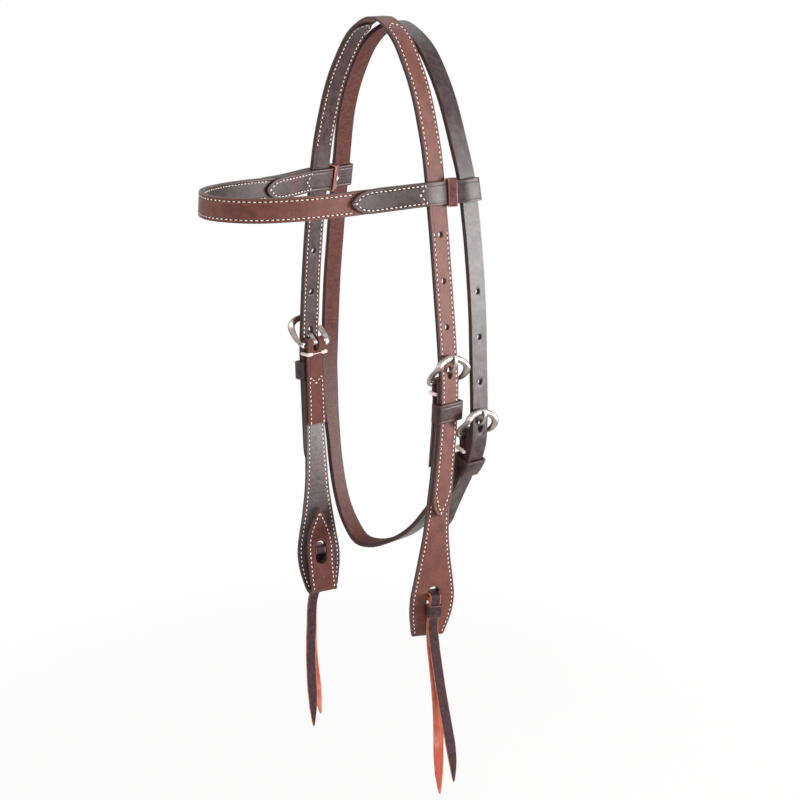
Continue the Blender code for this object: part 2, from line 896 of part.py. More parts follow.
def make_frame(name, spine, bar_s, bar_n, rise, mirrored=False):
    mesh, bm = flat_solid(name, [frame_outline()], band_thickness)
    bmesh.ops.triangulate(bm, faces=bm.faces)
    for vertex in bm.verts:
        v, w, t = vertex.co
        up, thicker = bow_rise(v, w, rise, -1 if mirrored else 1)
        out = bar_n + up + t * thicker
        vertex.co = Vector(spine.place(bar_s - bow_lean(v, w), w, out))
    frame = finish_bmesh(name, mesh, bm, "nickel", mirrored, math.radians(40))
    ends = [spine.place(bar_s, w, bar_n) for w in (-1, 1)]
    middle = Vector(spine.place(bar_s, 0, bar_n))
    way = Vector(ends[1] - ends[0])
    if mirrored:
        middle.x = -middle.x
        way.x = -way.x
    foot = frame_foot_width - band_thickness
    bar_name = f"{name}_bar"
    bar_mesh = bpy.data.meshes.new(bar_name)
    bar_bm = bmesh.new()
    bmesh.ops.create_cone(
        bar_bm, cap_ends=True, segments=12, depth=foot,
        radius1=bar_diameter / 2, radius2=bar_diameter / 2,
    )
    bar_bm.to_mesh(bar_mesh)
    bar_bm.free()
    bar = bpy.data.objects.new(bar_name, bar_mesh)
    cutters.objects.link(bar)
    bar.rotation_mode = "QUATERNION"
    bar.rotation_quaternion = way.to_track_quat("Z", "X")
    bar.location = middle
    bar.hide_render = True
    bar.display_type = "WIRE"
    union = frame.modifiers.new("bar", "BOOLEAN")
    union.operation = "UNION"
    union.object = bar
    set_origin(frame, spine.place(bar_s, 0, bar_n), mirrored)


def tongue_outline(rise):
    """The tongue seen from the side: a blade that runs into a ring."""
    ring = bar_diameter / 2 + piece_gap + tongue_ring
    start = ring - tongue_ring / 2
    rest = rise + band_thickness / 2 + piece_gap + tongue_thickness / 2
    middle = [
        (start + along * (tongue_reach - start), out * rest, 0.0)
        for along, out in tongue_shares
    ]
    line, lengths = smooth_line(middle, 3)
    ways = np.gradient(line, lengths, axis=0)
    half = tongue_thickness / 2
    near, far = [], []
    for point, way in zip(line, ways):
        way = unit(way)
        near.append((float(point[0] - way[1] * half), float(point[1] + way[0] * half)))
        far.append((float(point[0] + way[1] * half), float(point[1] - way[0] * half)))
    return near + far[::-1], ring


def make_tongue(name, spine, bar_s, bar_n, rise, mirrored=False):
    """The blade's side outline joined to a ring round the bar."""
    outline, ring = tongue_outline(rise)
    turns = 20
    hollow = bar_diameter / 2 + piece_gap
    circle = [2 * math.pi * k / turns for k in range(turns)]
    eye = [(ring * math.cos(a), ring * math.sin(a)) for a in circle]
    hole = [(hollow * math.cos(a), hollow * math.sin(a)) for a in circle]
    mesh, bm = flat_solid(name, [eye, hole], tongue_width)
    blade_mesh, blade_bm = flat_solid(f"{name}_blade", [outline], tongue_width)
    for work, target in ((bm, mesh), (blade_bm, blade_mesh)):
        bmesh.ops.triangulate(work, faces=work.faces)
        for vertex in work.verts:
            v, n, w = vertex.co
            share = min(max(v / tongue_reach, 0.0), 1.0)
            narrow = 1 - (1 - tongue_tip_width / tongue_width) * ease(share)
            vertex.co = Vector(spine.place(bar_s - v, w * narrow, bar_n + n))
        store(target, work, mirrored)
    tongue = link(name, mesh, "nickel", smooth_angle=math.radians(40))
    blade = bpy.data.objects.new(f"{name}_blade", blade_mesh)
    cutters.objects.link(blade)
    blade.hide_render = True
    blade.display_type = "WIRE"
    union = tongue.modifiers.new("blade", "BOOLEAN")
    union.operation = "UNION"
    union.object = blade
    set_origin(tongue, spine.place(bar_s, 0, bar_n), mirrored)


cheek_rise = crown_ply + bow_stand_off + band_thickness / 2 - cheek_bar


def make_cheek_buckle(side, mirrored):
    spine = spines[side]
    frame = f"{side}_buckle_frame"
    make_frame(frame, spine, bar_place, cheek_bar, cheek_rise, mirrored)
    tongue = f"{side}_buckle_tongue"
    make_tongue(tongue, spine, bar_place, cheek_bar, cheek_rise, mirrored)


# The throat latch, its spine in the middle of the strap

throat_back = crown_width / 2 + strap_side_gap + throat_width / 2


throat_hole_in_use = throat_first_hole + (hole_count - 1) * hole_pitch
throat_bar_place = throat_hole_in_use + bar_below_hole
throat_side_drop = throat_side_share * throat_bar_place
side_end_share = throat_side_shares[-1][2]


def throat_point(x, y, z):
    """A point of the loop: its side's drop follows the buckle, the rest hangs below."""
    side = min(z / side_end_share, 1.0)
    under = max((z - side_end_share) / (1 - side_end_share), 0.0)
    return (
        x * throat_half_width,
        throat_back + y * throat_set_back,
        -throat_drop - side * throat_side_drop - under * throat_under_drop,
    )


def throat_loop():
    """The loop's points, from its buckle under the jaw and over the poll again."""
    near_side = [throat_point(*p) for p in throat_side_shares]
    far_side = [throat_point(-x, y, z) for x, y, z in throat_side_shares]
    under = [throat_point(*p) for p in throat_near_shares + throat_far_shares]
    return near_side, far_side, under


near_side, far_side, under = throat_loop()
over_line = far_side[:0:-1] + near_side + under

loop_line, loop_lengths = smooth_line(over_line)
apex_index = int(np.argmin(np.abs(loop_line[:, 0]) + np.abs(loop_line[:, 2]) * 4))
loop_start = -loop_lengths[apex_index]
loop_end = loop_lengths[-1] + loop_start


def throat_marks():
    """Marks down both sides of the poll and on under the jaw."""
    near = growing_marks(0.0, loop_end, throat_long_step)
    far = [-mark for mark in near[1:] if mark < -loop_start] + [loop_start]
    return sorted(set(far + near))


def throat_across(mark):
    """The strap's width, turned aside where it comes up the far side."""
    share = (mark - throat_bar_place) / (loop_end - throat_bar_place)
    along, turns = zip(*throat_turn_shares)
    turn = throat_turn * float(np.interp(share, along, turns))
    return (-math.sin(turn), math.cos(turn), 0.0)


throat = route_through(over_line, throat_marks(), loop_start, throat_across)

throat_leg = -(throat_ply + piece_gap)
throat_bar_radius = bar_diameter / 2 + piece_gap + throat_ply / 2
throat_bar = throat_leg - throat_bar_radius
throat_inside = throat_bar - throat_bar_radius
throat_keeper_place = throat_bar_place + throat_keeper_below_bar
throat_leg_low = throat_leg - throat_ply - piece_gap


def throat_path():
    """From the folded end, over the bar, under the jaw and over the poll."""
    bend = throat_keeper_place - throat_keeper_height / 2 - piece_gap
    end = throat_bar_place + throat_fold_leg
    path = leg_up(throat, end, throat_bar_place, throat_leg_low, throat_inside, bend)
    path += over_bar(throat_bar_place, throat_bar, throat_bar_radius)
    leave = throat_keeper_place + throat_keeper_height / 2
    for s in sorted(throat.between(throat_bar_place, loop_end) + [leave, loop_end]):
        share = (s - leave) / throat_offset_run
        n = throat_leg * (1 - ease(share))
        slope = 6 * share * (1 - share) if 0 < share < 1 else 0.0
        path.append((s, n, 1.0, -throat_leg * slope / throat_offset_run))
    power = throat_tail_power_share
    run = throat_tail_reach - leave
    tail = throat.between(loop_start, throat_tail_reach) + [leave, throat_tail_reach]
    for s in sorted(tail):
        share = max((s - leave) / run, 0.0)
        slope = power * share ** (power - 1) * throat_tail_lift / run
        path.append((s, throat_tail_lift * share**power, 1.0, slope))
    return path


def make_throat_strap():
    path = throat_path()
    route = path_route(throat, path)
    turn = next(k for k, p in enumerate(path) if k and p[0] < path[k - 1][0] - throat_side_drop)
    gap = np.linalg.norm(route.points[turn] - route.points[turn - 1])
    route.along[turn:] += gap - (route.along[turn] - route.along[turn - 1])
    end = float(route.along[-1])
    leave = throat_keeper_place + throat_keeper_height / 2
    beyond = [k for k in range(turn, len(path)) if path[k][0] > leave]
    straight = (beyond[0] if beyond else len(path)) - 1
    back = float(route.along[straight]) - path[straight][0]
    half = throat_width / 2
    rings = [band_outline(0.0, end, half, None, (throat_tail_taper, round_tip_shares))]
    for number in range(hole_count):
        u = back + throat_first_hole + number * hole_pitch
        if number == hole_count - 1:
            rings.append(oval(u, 0, worn_hole_height, worn_hole_width))
        else:
            rings.append(oval(u, 0, punch_diameter, punch_diameter))
    first = next(k for k, p in enumerate(path) if p[2] > 0.5 and p[3] == 0)
    low = float(route.along[first]) - throat_bar_radius * math.pi - slot_inside
    high = float(route.along[first]) + slot_outside
    rings.append(slot((low + high) / 2, 0, high - low, slot_width))
    strap("throat_strap", rings, route, -throat_ply / 2, throat_ply / 2, "dark_leather")


def make_throat_trim():
    rise = throat_ply / 2 + throat_bow_stand_off + band_thickness / 2 - throat_bar
    make_frame("throat_buckle_frame", throat, throat_bar_place, throat_bar, rise)
    make_tongue("throat_buckle_tongue", throat, throat_bar_place, throat_bar, rise)
    half = throat_width / 2 + keeper_side_gap / 2
    low = throat_leg_low - throat_ply / 2 - throat_keeper_slack
    high = throat_ply / 2 + throat_keeper_slack
    band = keeper(
        "throat_keeper", throat, throat_keeper_place, throat_keeper_height,
        low, high, half,
    )
    set_origin(band, throat.place(throat_keeper_place, 0, throat_leg / 2))
    bend = throat_keeper_place - throat_keeper_height / 2 - piece_gap
    place = throat_bar_place + throat_tack_below_bar
    upper = place - tack_thread
    leg = leg_depth(upper, throat_bar_place, bend, throat_leg_low, throat_inside)
    inside = leg - throat_ply / 2
    outside = throat_leg + throat_ply / 2 - piece_gap
    edge_tack("throat_fold_tack", throat, place, throat_width / 2, inside, outside)


# The browband and its loops

def place_at_drop(route, drop, low, high):
    """Where a route that runs down reaches a drop below the origin."""
    for _ in range(60):
        middle = (low + high) / 2
        if route.place(middle, 0, 0)[2] > -drop:
            low = middle
        else:
            high = middle
    return (low + high) / 2


class LoopSeat:
    """Where a browband loop sits on the crown strap and the throat latch."""

    def __init__(self, drop):
        self.crown_at = place_at_drop(crown, drop, 0.0, first_hole)
        self.throat_at = place_at_drop(throat, drop, 0.0, throat_first_hole)
        down, self.out = crown.axes(self.crown_at)[:2]
        throat_down, self.throat_out, self.throat_wide = throat.axes(self.throat_at)
        self.up = -down
        self.throat_up = -throat_down

    def at_crown(self, w, n):
        return crown.place(self.crown_at, w, n)

    def at_throat(self, w, n):
        return throat.place(self.throat_at, w, n)


loop_seats = {
    "near": LoopSeat(browband_drop),
    "far": LoopSeat(browband_drop + far_side_drop),
}
crown_middle = (crown_ply - piece_gap - lining_ply) / 2


def browband_side(side):
    """The browband's points from beside its front to its end on one side."""
    seat = loop_seats[side]
    drop = far_side_drop if side == "far" else 0.0
    last = browband_route_shares[-1][1]
    points = []
    for x, y in browband_route_shares[1:]:
        fall = browband_drop + browband_front_dip * y + drop * (1 - y) / (1 - last)
        points.append((x * browband_half_width, -y * browband_reach, -fall))
    points.append(tuple(seat.at_crown(-crown_width / 2 - loop_edge_gap, crown_middle)))
    return [tuple(point * flips[side]) for point in np.array(points)]


browband_front = (0.0, -browband_reach, -browband_drop - browband_front_dip)
browband_points = browband_side("far")[::-1] + [browband_front] + browband_side("near")
browband_length = smooth_line(browband_points)[1][-1]
browband_half = browband_length / 2


def browband_across(mark):
    share = min(abs(mark) / browband_half, 1.0) ** 2
    side = "near" if mark > 0 else "far"
    front = np.array([0.0, math.sin(browband_lean), math.cos(browband_lean)])
    back = loop_seats[side].up * flips[side]
    return unit((1 - share) * front + share * back)


def even_marks(reach, step):
    count = max(2, math.ceil(reach / step))
    return [reach * k / count for k in range(-count, count + 1)]


browband = route_through(
    browband_points, even_marks(browband_half, browband_step), -browband_half,
    browband_across,
)


def make_browband():
    half = browband_width / 2
    rings = [band_outline(-browband_half, browband_half, half)]
    seam = piece_gap / 2
    layers = (
        ("browband_outer_ply", seam, seam + browband_ply, "rough_out_leather"),
        ("browband_lining", -seam - browband_lining_ply, -seam, "dark_leather"),
    )
    for name, low, high, finish in layers:
        set_origin(strap(name, rings, browband, low, high, finish), browband_front)


def loop_stations(side):
    """The loop strap's stations from its outside tab to its inside tab.

    Each is a point, its outward side and its width's way, as on the near side.
    """
    seat = loop_seats[side]
    flip = flips[side]
    half_ply = loop_ply / 2
    outer = piece_gap / 2 + browband_ply + piece_gap + half_ply
    inner = -(piece_gap / 2 + browband_lining_ply + piece_gap + half_ply)
    tab = [browband_half - tab_length] + browband.between(
        browband_half - tab_length, browband_half
    )
    inner_tab = [browband_half - inner_tab_length] + browband.between(
        browband_half - inner_tab_length, browband_half
    )

    def on_browband(u, n):
        mark = u * flip[0]
        along, outward, across = browband.axes(mark)
        return browband.place(mark, 0, n) * flip, outward * flip, across * flip

    stations = [on_browband(u, outer) for u in tab]
    over_crown = crown_ply + loop_slack + half_ply
    under_crown = -(piece_gap + lining_ply) - loop_slack - half_ply
    over_throat = throat_ply / 2 + loop_slack + half_ply
    back = throat_width / 2 + loop_edge_gap + half_ply
    edge = crown_width / 2
    front = throat_width / 2
    for w in (-edge, 0.0, edge):
        stations.append((seat.at_crown(w, over_crown), seat.out, seat.up))
    for w in (-front, 0.0):
        place = seat.at_throat(w, over_throat)
        stations.append((place, seat.throat_out, seat.throat_up))
    for n, start in ((1, 0.5), (-1, 0.0)):
        centre = (back - corner_radius, n * (over_throat - corner_radius))
        for k in range(4):
            a = math.pi * (start - k / 6)
            w = centre[0] + corner_radius * math.cos(a)
            reach = centre[1] + corner_radius * math.sin(a)
            outward = math.cos(a) * seat.throat_wide + math.sin(a) * seat.throat_out
            stations.append((seat.at_throat(w, reach), outward, seat.throat_up))
    for w in (0.0, -front):
        place = seat.at_throat(w, -over_throat)
        stations.append((place, -seat.throat_out, seat.throat_up))
    for w in (edge, 0.0, -edge):
        stations.append((seat.at_crown(w, under_crown), -seat.out, seat.up))
    for u in inner_tab[::-1]:
        point, outward, across = on_browband(u, inner)
        stations.append((point, -outward, across))
    return stations


def make_loop(side, mirrored):
    stations = loop_stations(side)
    points = np.array([s[0] for s in stations])
    steps = np.linalg.norm(np.diff(points, axis=0), axis=1)
    along = np.concatenate(([0.0], np.cumsum(steps)))
    route = Route(along, points, [s[1] for s in stations], [s[2] for s in stations])
    tip = (tab_taper, tail_tip_shares)
    rings = [band_outline(0.0, float(along[-1]), browband_width / 2, tip, tip)]
    name = f"{side}_loop_strap"
    finish = "glossy_dark_leather"
    band = strap(name, rings, route, -loop_ply / 2, loop_ply / 2, finish, mirrored)
    set_origin(band, browband_front)


def divider_frame(seat):
    """The middle of the gap between the two straps, and its three ways."""
    front = seat.at_crown(crown_width / 2, 0)
    back = seat.at_throat(-throat_width / 2, 0)
    along = unit(back - front)
    up = unit(seat.up - along * np.dot(seat.up, along))
    outward = np.cross(along, up)
    if np.dot(outward, seat.out) < 0:
        outward = -outward
    return (front + back) / 2, along, up, outward


def divider_span(seat, middle, along):
    """The room between the straps' edges, over all the height the band slides."""
    tall = browband_width / 2 + 2 * piece_gap + divider_ply + loop_travel
    low, high = [], []
    for rise in (-tall, 0.0, tall):
        for n in (-piece_gap - lining_ply, crown_ply):
            edge = crown.place(seat.crown_at + rise, crown_width / 2, n)
            low.append(float(np.dot(edge - middle, along)))
        for n in (-throat_ply / 2, throat_ply / 2):
            edge = throat.place(seat.throat_at + rise, -throat_width / 2, n)
            high.append(float(np.dot(edge - middle, along)))
    return max(low) + piece_gap, min(high) - piece_gap


def loop_sides(seat, middle, outward):
    """How far out and in the loop's runs stand at the divider."""
    reach = crown_width / 2
    over_crown = crown_ply + loop_slack + loop_ply
    under_crown = -(piece_gap + lining_ply) - loop_slack - loop_ply
    over_throat = throat_ply / 2 + loop_slack + loop_ply
    front = throat_width / 2
    outs = (seat.at_crown(reach, over_crown), seat.at_throat(-front, over_throat))
    ins = (seat.at_crown(reach, under_crown), seat.at_throat(-front, -over_throat))
    high = max(float(np.dot(p - middle, outward)) for p in outs)
    low = min(float(np.dot(p - middle, outward)) for p in ins)
    return low, high


def make_divider(side, mirrored):
    seat = loop_seats[side]
    middle, along, up, outward = divider_frame(seat)
    low, high = loop_sides(seat, middle, outward)
    low -= 2 * piece_gap
    high += 2 * piece_gap
    tall = browband_width / 2 + 2 * piece_gap
    corner = divider_ply / 3
    inner = rounded_box(low, high, -tall, tall, corner)
    grow = divider_ply
    outer = rounded_box(
        low - grow, high + grow, -tall - grow, tall + grow, corner + grow
    )

    front, back = divider_span(seat, middle, along)
    width = back - front
    between = middle + (front + back) / 2 * along

    def place(n, w, t):
        return between + n * outward + w * up + t * along

    name = f"{side}_divider_band"
    rings = [outer, inner]
    band = ring_solid(name, rings, place, width, "burgundy_leather", mirrored)
    set_origin(band, browband_front)
    half = tack_diamond / 2
    diamond = [(half, 0.0), (0.0, half), (-half, 0.0), (0.0, -half)]
    seat = low - grow - piece_gap - tack_proud / 2

    def place_tack(a, w, t):
        return between + (seat + t) * outward + w * up + a * along

    name = f"{side}_divider_tack"
    mesh, bm = flat_solid(name, [diamond], tack_proud)
    tack = placed_solid(name, mesh, bm, place_tack, "thread", mirrored)
    set_origin(tack, browband_front)


# Tie laces

slot_place = bar_place + bit_slot_below_bar
wrap_place = slot_place + wrap_below_slot
wrap_inside = cheek_face + piece_gap
back_strand = wrap_inside + wrap_ply + piece_gap + thong_ply / 2
front_strand = back_strand + thong_ply + piece_gap
wrap_outside = front_strand + thong_ply / 2 + piece_gap


def rounded_path(start, corners, end, radius, steps):
    """Stations (a, b, da, db) through square corners, each rounded to a radius."""
    stops = np.array([start, *corners, end], float)
    ways = [unit(way) for way in np.diff(stops, axis=0)]
    path = [(*start, *ways[0])]
    for corner, way, turn in zip(stops[1:-1], ways, ways[1:]):
        centre = corner - radius * way + radius * turn
        for k in range(steps + 1):
            a = math.pi / 2 * k / steps
            place = centre - radius * (math.cos(a) * turn - math.sin(a) * way)
            path.append((*place, *(math.sin(a) * turn + math.cos(a) * way)))
    return path + [(*end, *ways[-1])]


def bight_route(spine):
    """The lace's middle: up out of the wrap, round in the slots, and back."""
    flap = float(np.dot(
        cheek.place(flap_place(slot_place), 0, crown_ply / 2) - crown.place(slot_place, 0, 0),
        crown.axes(slot_place)[1],
    ))
    low = wrap_place + wrap_height / 2
    below = wrap_place - wrap_height / 2 - piece_gap - thong_ply
    over = slot_place - bit_slot_height / 2 + bit_slot_corner + thong_ply / 2
    corners = [(below, back_strand), (below, flap), (over, flap), (over, front_strand)]
    start, end = (low, back_strand), (low, front_strand)
    return path_route(spine, rounded_path(start, corners, end, lace_bend, lace_bend_steps))


def make_tie(side, mirrored):
    spine = spines[side]
    route = bight_route(spine)
    half = thong_width / 2
    rings = [band_outline(0.0, float(route.along[-1]), half)]
    name = f"{side}_tie_bight"
    strap(name, rings, route, -thong_ply / 2, thong_ply / 2, "latigo", mirrored)
    name = f"{side}_tie_wrap"
    low = wrap_inside + wrap_ply
    half_wide = wrap_width / 2 - wrap_ply
    corner = wrap_ply / 2
    inner = rounded_box(low, wrap_outside, -half_wide, half_wide, corner)
    grow = wrap_ply
    outer = rounded_box(
        low - grow, wrap_outside + grow, -half_wide - grow, half_wide + grow,
        corner + grow,
    )

    def place(n, w, t):
        return spine.place(wrap_place + t, w, n)

    ring_solid(name, [outer, inner], place, wrap_height, "latigo", mirrored)


# A tail's route is chosen by hand: out, back and down from where it leaves the wrap
near_front_tail_route = (
    (0.0000, 0.0000, 0.0000), (-0.0008, -0.0001, -0.0060), (-0.0005, 0.0010, -0.0186),
    (0.0029, 0.0017, -0.0396), (0.0067, 0.0022, -0.0591), (0.0110, 0.0026, -0.0768),
    (0.0153, 0.0030, -0.0946), (0.0178, 0.0035, -0.1100), (0.0186, 0.0039, -0.1255),
)
near_back_tail_route = (
    (0.0000, 0.0000, 0.0000), (-0.0008, -0.0001, -0.0060), (-0.0011, 0.0004, -0.0196),
    (0.0020, 0.0006, -0.0423), (0.0048, 0.0008, -0.0659), (0.0059, 0.0011, -0.0875),
    (0.0061, 0.0013, -0.1111), (0.0065, 0.0015, -0.1266), (0.0073, 0.0017, -0.1407),
)
far_front_tail_route = (
    (0.0000, 0.0000, 0.0000), (-0.0008, -0.0001, -0.0060), (0.0012, 0.0003, -0.0160),
    (0.0066, 0.0006, -0.0310), (0.0090, 0.0012, -0.0560), (0.0100, 0.0024, -0.0795),
    (0.0096, 0.0040, -0.0975), (0.0086, 0.0058, -0.1150), (0.0074, 0.0076, -0.1325),
)
far_back_tail_route = (
    (0.0000, 0.0000, 0.0000), (-0.0008, -0.0001, -0.0060), (0.0008, -0.0002, -0.0160),
    (0.0060, -0.0005, -0.0296), (0.0082, -0.0009, -0.0555), (0.0090, -0.0012, -0.0796),
    (0.0078, -0.0016, -0.1007), (0.0062, -0.0019, -0.1200), (0.0054, -0.0022, -0.1389),
)
tail_routes = {
    "near": {"front": near_front_tail_route, "back": near_back_tail_route},
    "far": {"front": far_front_tail_route, "back": far_back_tail_route},
}


def make_tails(side, mirrored):
    spine = spines[side]
    leave = wrap_place + wrap_height / 2 + piece_gap
    wide = tuple(spine.axes(leave)[2])
    strands = {"front": front_strand, "back": back_strand}
    for which, n in strands.items():
        start = spine.place(leave, 0, n)
        points = [start + np.array(offset) for offset in tail_routes[side][which]]
        line, lengths = smooth_line(points)
        marks = [float(lengths[-1]) * k / 16 for k in range(17)]
        route = route_through(points, marks, 0.0, lambda mark: wide)
        end = (tip_taper, lace_tip_shares)
        rings = [band_outline(0.0, marks[-1], thong_width / 2, None, end)]
        name = f"{side}_tie_tail_{which}"
        strap(name, rings, route, -thong_ply / 2, thong_ply / 2, "latigo", mirrored)


make_crown()
make_throat_strap()
make_throat_trim()
make_browband()
for side_name, is_far in (("near", False), ("far", True)):
    make_cheek(side_name, is_far)
    make_cheek_trim(side_name, is_far)
    make_cheek_buckle(side_name, is_far)
    make_loop(side_name, is_far)
    make_divider(side_name, is_far)
    make_tie(side_name, is_far)
    make_tails(side_name, is_far)
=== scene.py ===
# Western headstall, dressed: leather, thread and metal on the frame of the part.
# Metres, +Z up. The horse faces -Y, and its near (left) side is +X.
import json
import math

import bmesh
import bpy
import numpy as np
from mathutils import Matrix, Vector


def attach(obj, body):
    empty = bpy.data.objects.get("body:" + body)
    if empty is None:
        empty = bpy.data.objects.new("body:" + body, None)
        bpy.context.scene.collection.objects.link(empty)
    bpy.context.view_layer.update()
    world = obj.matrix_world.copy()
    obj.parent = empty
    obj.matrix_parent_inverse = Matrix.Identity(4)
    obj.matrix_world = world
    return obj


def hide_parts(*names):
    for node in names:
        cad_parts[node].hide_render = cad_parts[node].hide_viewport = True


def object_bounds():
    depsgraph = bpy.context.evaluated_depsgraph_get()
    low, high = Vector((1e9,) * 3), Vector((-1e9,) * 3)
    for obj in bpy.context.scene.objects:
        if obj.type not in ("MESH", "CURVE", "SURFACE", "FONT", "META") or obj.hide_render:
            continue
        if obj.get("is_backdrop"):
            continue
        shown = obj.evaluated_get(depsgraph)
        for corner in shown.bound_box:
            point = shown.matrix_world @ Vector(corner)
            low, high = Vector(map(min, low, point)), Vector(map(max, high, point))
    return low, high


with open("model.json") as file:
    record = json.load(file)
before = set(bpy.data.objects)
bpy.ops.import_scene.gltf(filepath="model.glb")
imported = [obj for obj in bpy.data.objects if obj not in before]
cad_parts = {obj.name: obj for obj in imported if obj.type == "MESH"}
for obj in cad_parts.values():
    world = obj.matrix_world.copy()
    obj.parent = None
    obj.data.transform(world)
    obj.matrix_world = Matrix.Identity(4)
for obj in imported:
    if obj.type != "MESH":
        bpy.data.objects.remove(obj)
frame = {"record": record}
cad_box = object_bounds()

# Camera, as the photograph was taken
camera_azimuth = math.radians(48.3)
camera_elevation = math.radians(16.4)
camera_distance = 1.265
camera_lens = 78.36
camera_sensor = 36.0
camera_aim = (0.0095, 0.0106, -0.2711)

# Leather stock
crown_width = 0.0159
crown_ply = 0.0018
lining_ply = 0.0012
throat_width = 0.0146
throat_ply = 0.0033
browband_width = 0.0159
browband_ply = 0.0018
browband_lining_ply = 0.0019
loop_ply = 0.0018
keeper_ply = 0.0016
divider_ply = 0.0012
thong_width = 0.0078
thong_ply = 0.0017
wrap_ply = 0.0010
tack_thread = 0.0016

# Clearance between touching pieces, and what a sliding loop needs
piece_gap = 0.0003
loop_slack = 0.0008
loop_edge_gap = 0.0006
loop_travel = 0.0035
keeper_side_gap = 0.0024

# The head that the straps go round
head_half_width = 0.0767
spine_depth = 0.404
spine_set_forward = 0.008
apex_flat_half = 0.004

# Crown strap, measured along it from the apex
tail_reach = 0.3656
tail_taper = 0.018
first_hole = 0.1633
hole_pitch = 0.03175
hole_count = 4
punch_diameter = 0.0038
worn_hole_width = 0.0044
worn_hole_height = 0.0092
lining_start = 0.012
lining_taper = 0.009

# Buckles
bar_below_hole = 0.0066
bar_diameter = 0.003
frame_inner_width = 0.0214
frame_foot_width = 0.0282
frame_outer_width = 0.0330
frame_height = 0.0194
frame_shoulder = 0.0080
frame_rise_height = 0.0118
frame_foot = 0.0022
frame_lean = math.radians(8)
proud_power = 1.5
proud_swell = 0.8
bow_stand_off = 0.0028
throat_bow_stand_off = 0.0008
band_width = 0.0048
band_thickness = 0.0028
tongue_width = 0.0036
tongue_tip_width = 0.0026
tongue_thickness = 0.0015
tongue_ring = 0.0011
tongue_reach = 0.0190
slot_width = 0.005
slot_inside = 0.0065
slot_outside = 0.0032

# Cheek piece, measured from the buckle bar
keeper_below_bar = 0.0215
keeper_height = 0.0135
tack_below_bar = 0.0082
lining_below_bar = 0.0298
fold_leg = 0.0636
flare_below_bar = 0.035
bit_fold_below_bar = 0.1928
bit_fold_radius = 0.0022
paddle_half_width = 0.0167
bit_fold_half_width = 0.0112
flap_half_width = 0.0106
flap_length = 0.0638
bit_slot_below_bar = 0.1646
bit_slot_width = 0.0090
bit_slot_height = 0.019
bit_slot_corner = 0.0044
cheek_turn = math.radians(20)
cheek_turn_start = 0.030
cheek_turn_end = 0.150

# Tie lace
wrap_below_slot = 0.0076
wrap_height = 0.0092
wrap_width = 0.0118
tip_taper = 0.030
lace_bend = 0.0016

# Throat latch
throat_half_width = 0.0824
throat_under_drop = 0.1280
throat_drop = 0.0035
strap_side_gap = 0.0007
throat_set_back = 0.0050
throat_tail_reach = 0.3880
throat_first_hole = 0.2048
throat_keeper_below_bar = 0.0255
throat_keeper_height = 0.0130
throat_keeper_slack = 0.0008
throat_tack_below_bar = 0.0135
throat_fold_leg = 0.0345
throat_offset_run = 0.060
throat_tail_lift = 0.0160
throat_turn = math.radians(16)
throat_tail_taper = 0.010

# Browband
browband_drop = 0.1116
far_side_drop = 0.0052
browband_front_dip = 0.0015
browband_reach = 0.1454
browband_half_width = 0.0601
browband_lean = math.radians(4.5)
tab_length = 0.0600
tab_taper = 0.016
inner_tab_length = 0.0500
corner_radius = 0.0015
tack_diamond = 0.0040
tack_proud = 0.0006

# How finely the bends are cut
bend_step = 0.0018
step_growth = 1.08
long_step = 0.0034
throat_long_step = 0.005
browband_step = 0.004
arc_steps = 16
leg_steps = 16
lace_bend_steps = 8
edge_samples = 3
hole_sides = 28
slot_turns = 5
corner_turns = 3
cut_merge = 0.000001

# Routes, as shares of the head's sizes: sideways, forward, down
crown_route_shares = (
    (0.000, 0.00, 0.000), (0.236, 0.08, 0.0186), (0.477, 0.22, 0.0765),
    (0.716, 0.40, 0.191), (0.836, 0.56, 0.313), (0.920, 0.62, 0.435),
    (0.980, 0.58, 0.550), (1.000, 0.56, 0.606), (0.991, 0.58, 0.668),
    (0.957, 0.66, 0.755), (0.915, 0.75, 0.842), (0.887, 0.86, 0.921),
    (0.868, 0.95, 1.000), (0.842, 1.00, 1.040), (0.790, 1.04, 1.095),
)
# Sideways, back from the crown strap, down
throat_side_shares = (
    (0.000, 0.00, 0.000), (0.185, 0.02, 0.013), (0.368, 0.08, 0.042),
    (0.501, 0.14, 0.081), (0.603, 0.20, 0.121), (0.678, 0.28, 0.161),
    (0.735, 0.50, 0.202), (0.785, 0.80, 0.243), (0.856, 0.94, 0.327),
    (0.910, 0.96, 0.411), (0.954, 0.88, 0.496), (0.979, 0.78, 0.583),
    (1.000, 0.70, 0.671),
)
throat_near_shares = (
    (1.005, 0.62, 0.705), (0.996, 0.54, 0.736), (0.952, 0.38, 0.768),
    (0.846, 0.10, 0.804), (0.690, -0.24, 0.842), (0.505, -0.58, 0.884),
    (0.352, -0.89, 0.922), (0.223, -1.13, 0.946), (0.024, -1.33, 0.971),
    (-0.187, -1.49, 0.990),
)
throat_far_shares = (
    (-0.390, -1.50, 0.994), (-0.560, -1.19, 0.972), (-0.680, -0.90, 0.943),
    (-0.768, -0.65, 0.905), (-0.840, -0.35, 0.858), (-0.894, -0.05, 0.808),
    (-0.942, 0.22, 0.763), (-0.980, 0.50, 0.713),
)
# Along the loop from its buckle to the far side, and of the strap's turn
throat_turn_shares = ((0.00, 0.0), (0.40, 0.0), (0.70, 1.0), (0.86, 1.0), (1.00, 0.0))
throat_tail_power_share = 1.25
# Of the way down to the throat buckle, where the loop's straight side ends
throat_side_share = 0.8512
# Sideways and forward, from the front of the browband to its end
browband_route_shares = (
    (0.000, 1.000), (0.443, 0.917), (0.707, 0.743), (0.842, 0.545), (0.912, 0.341),
)

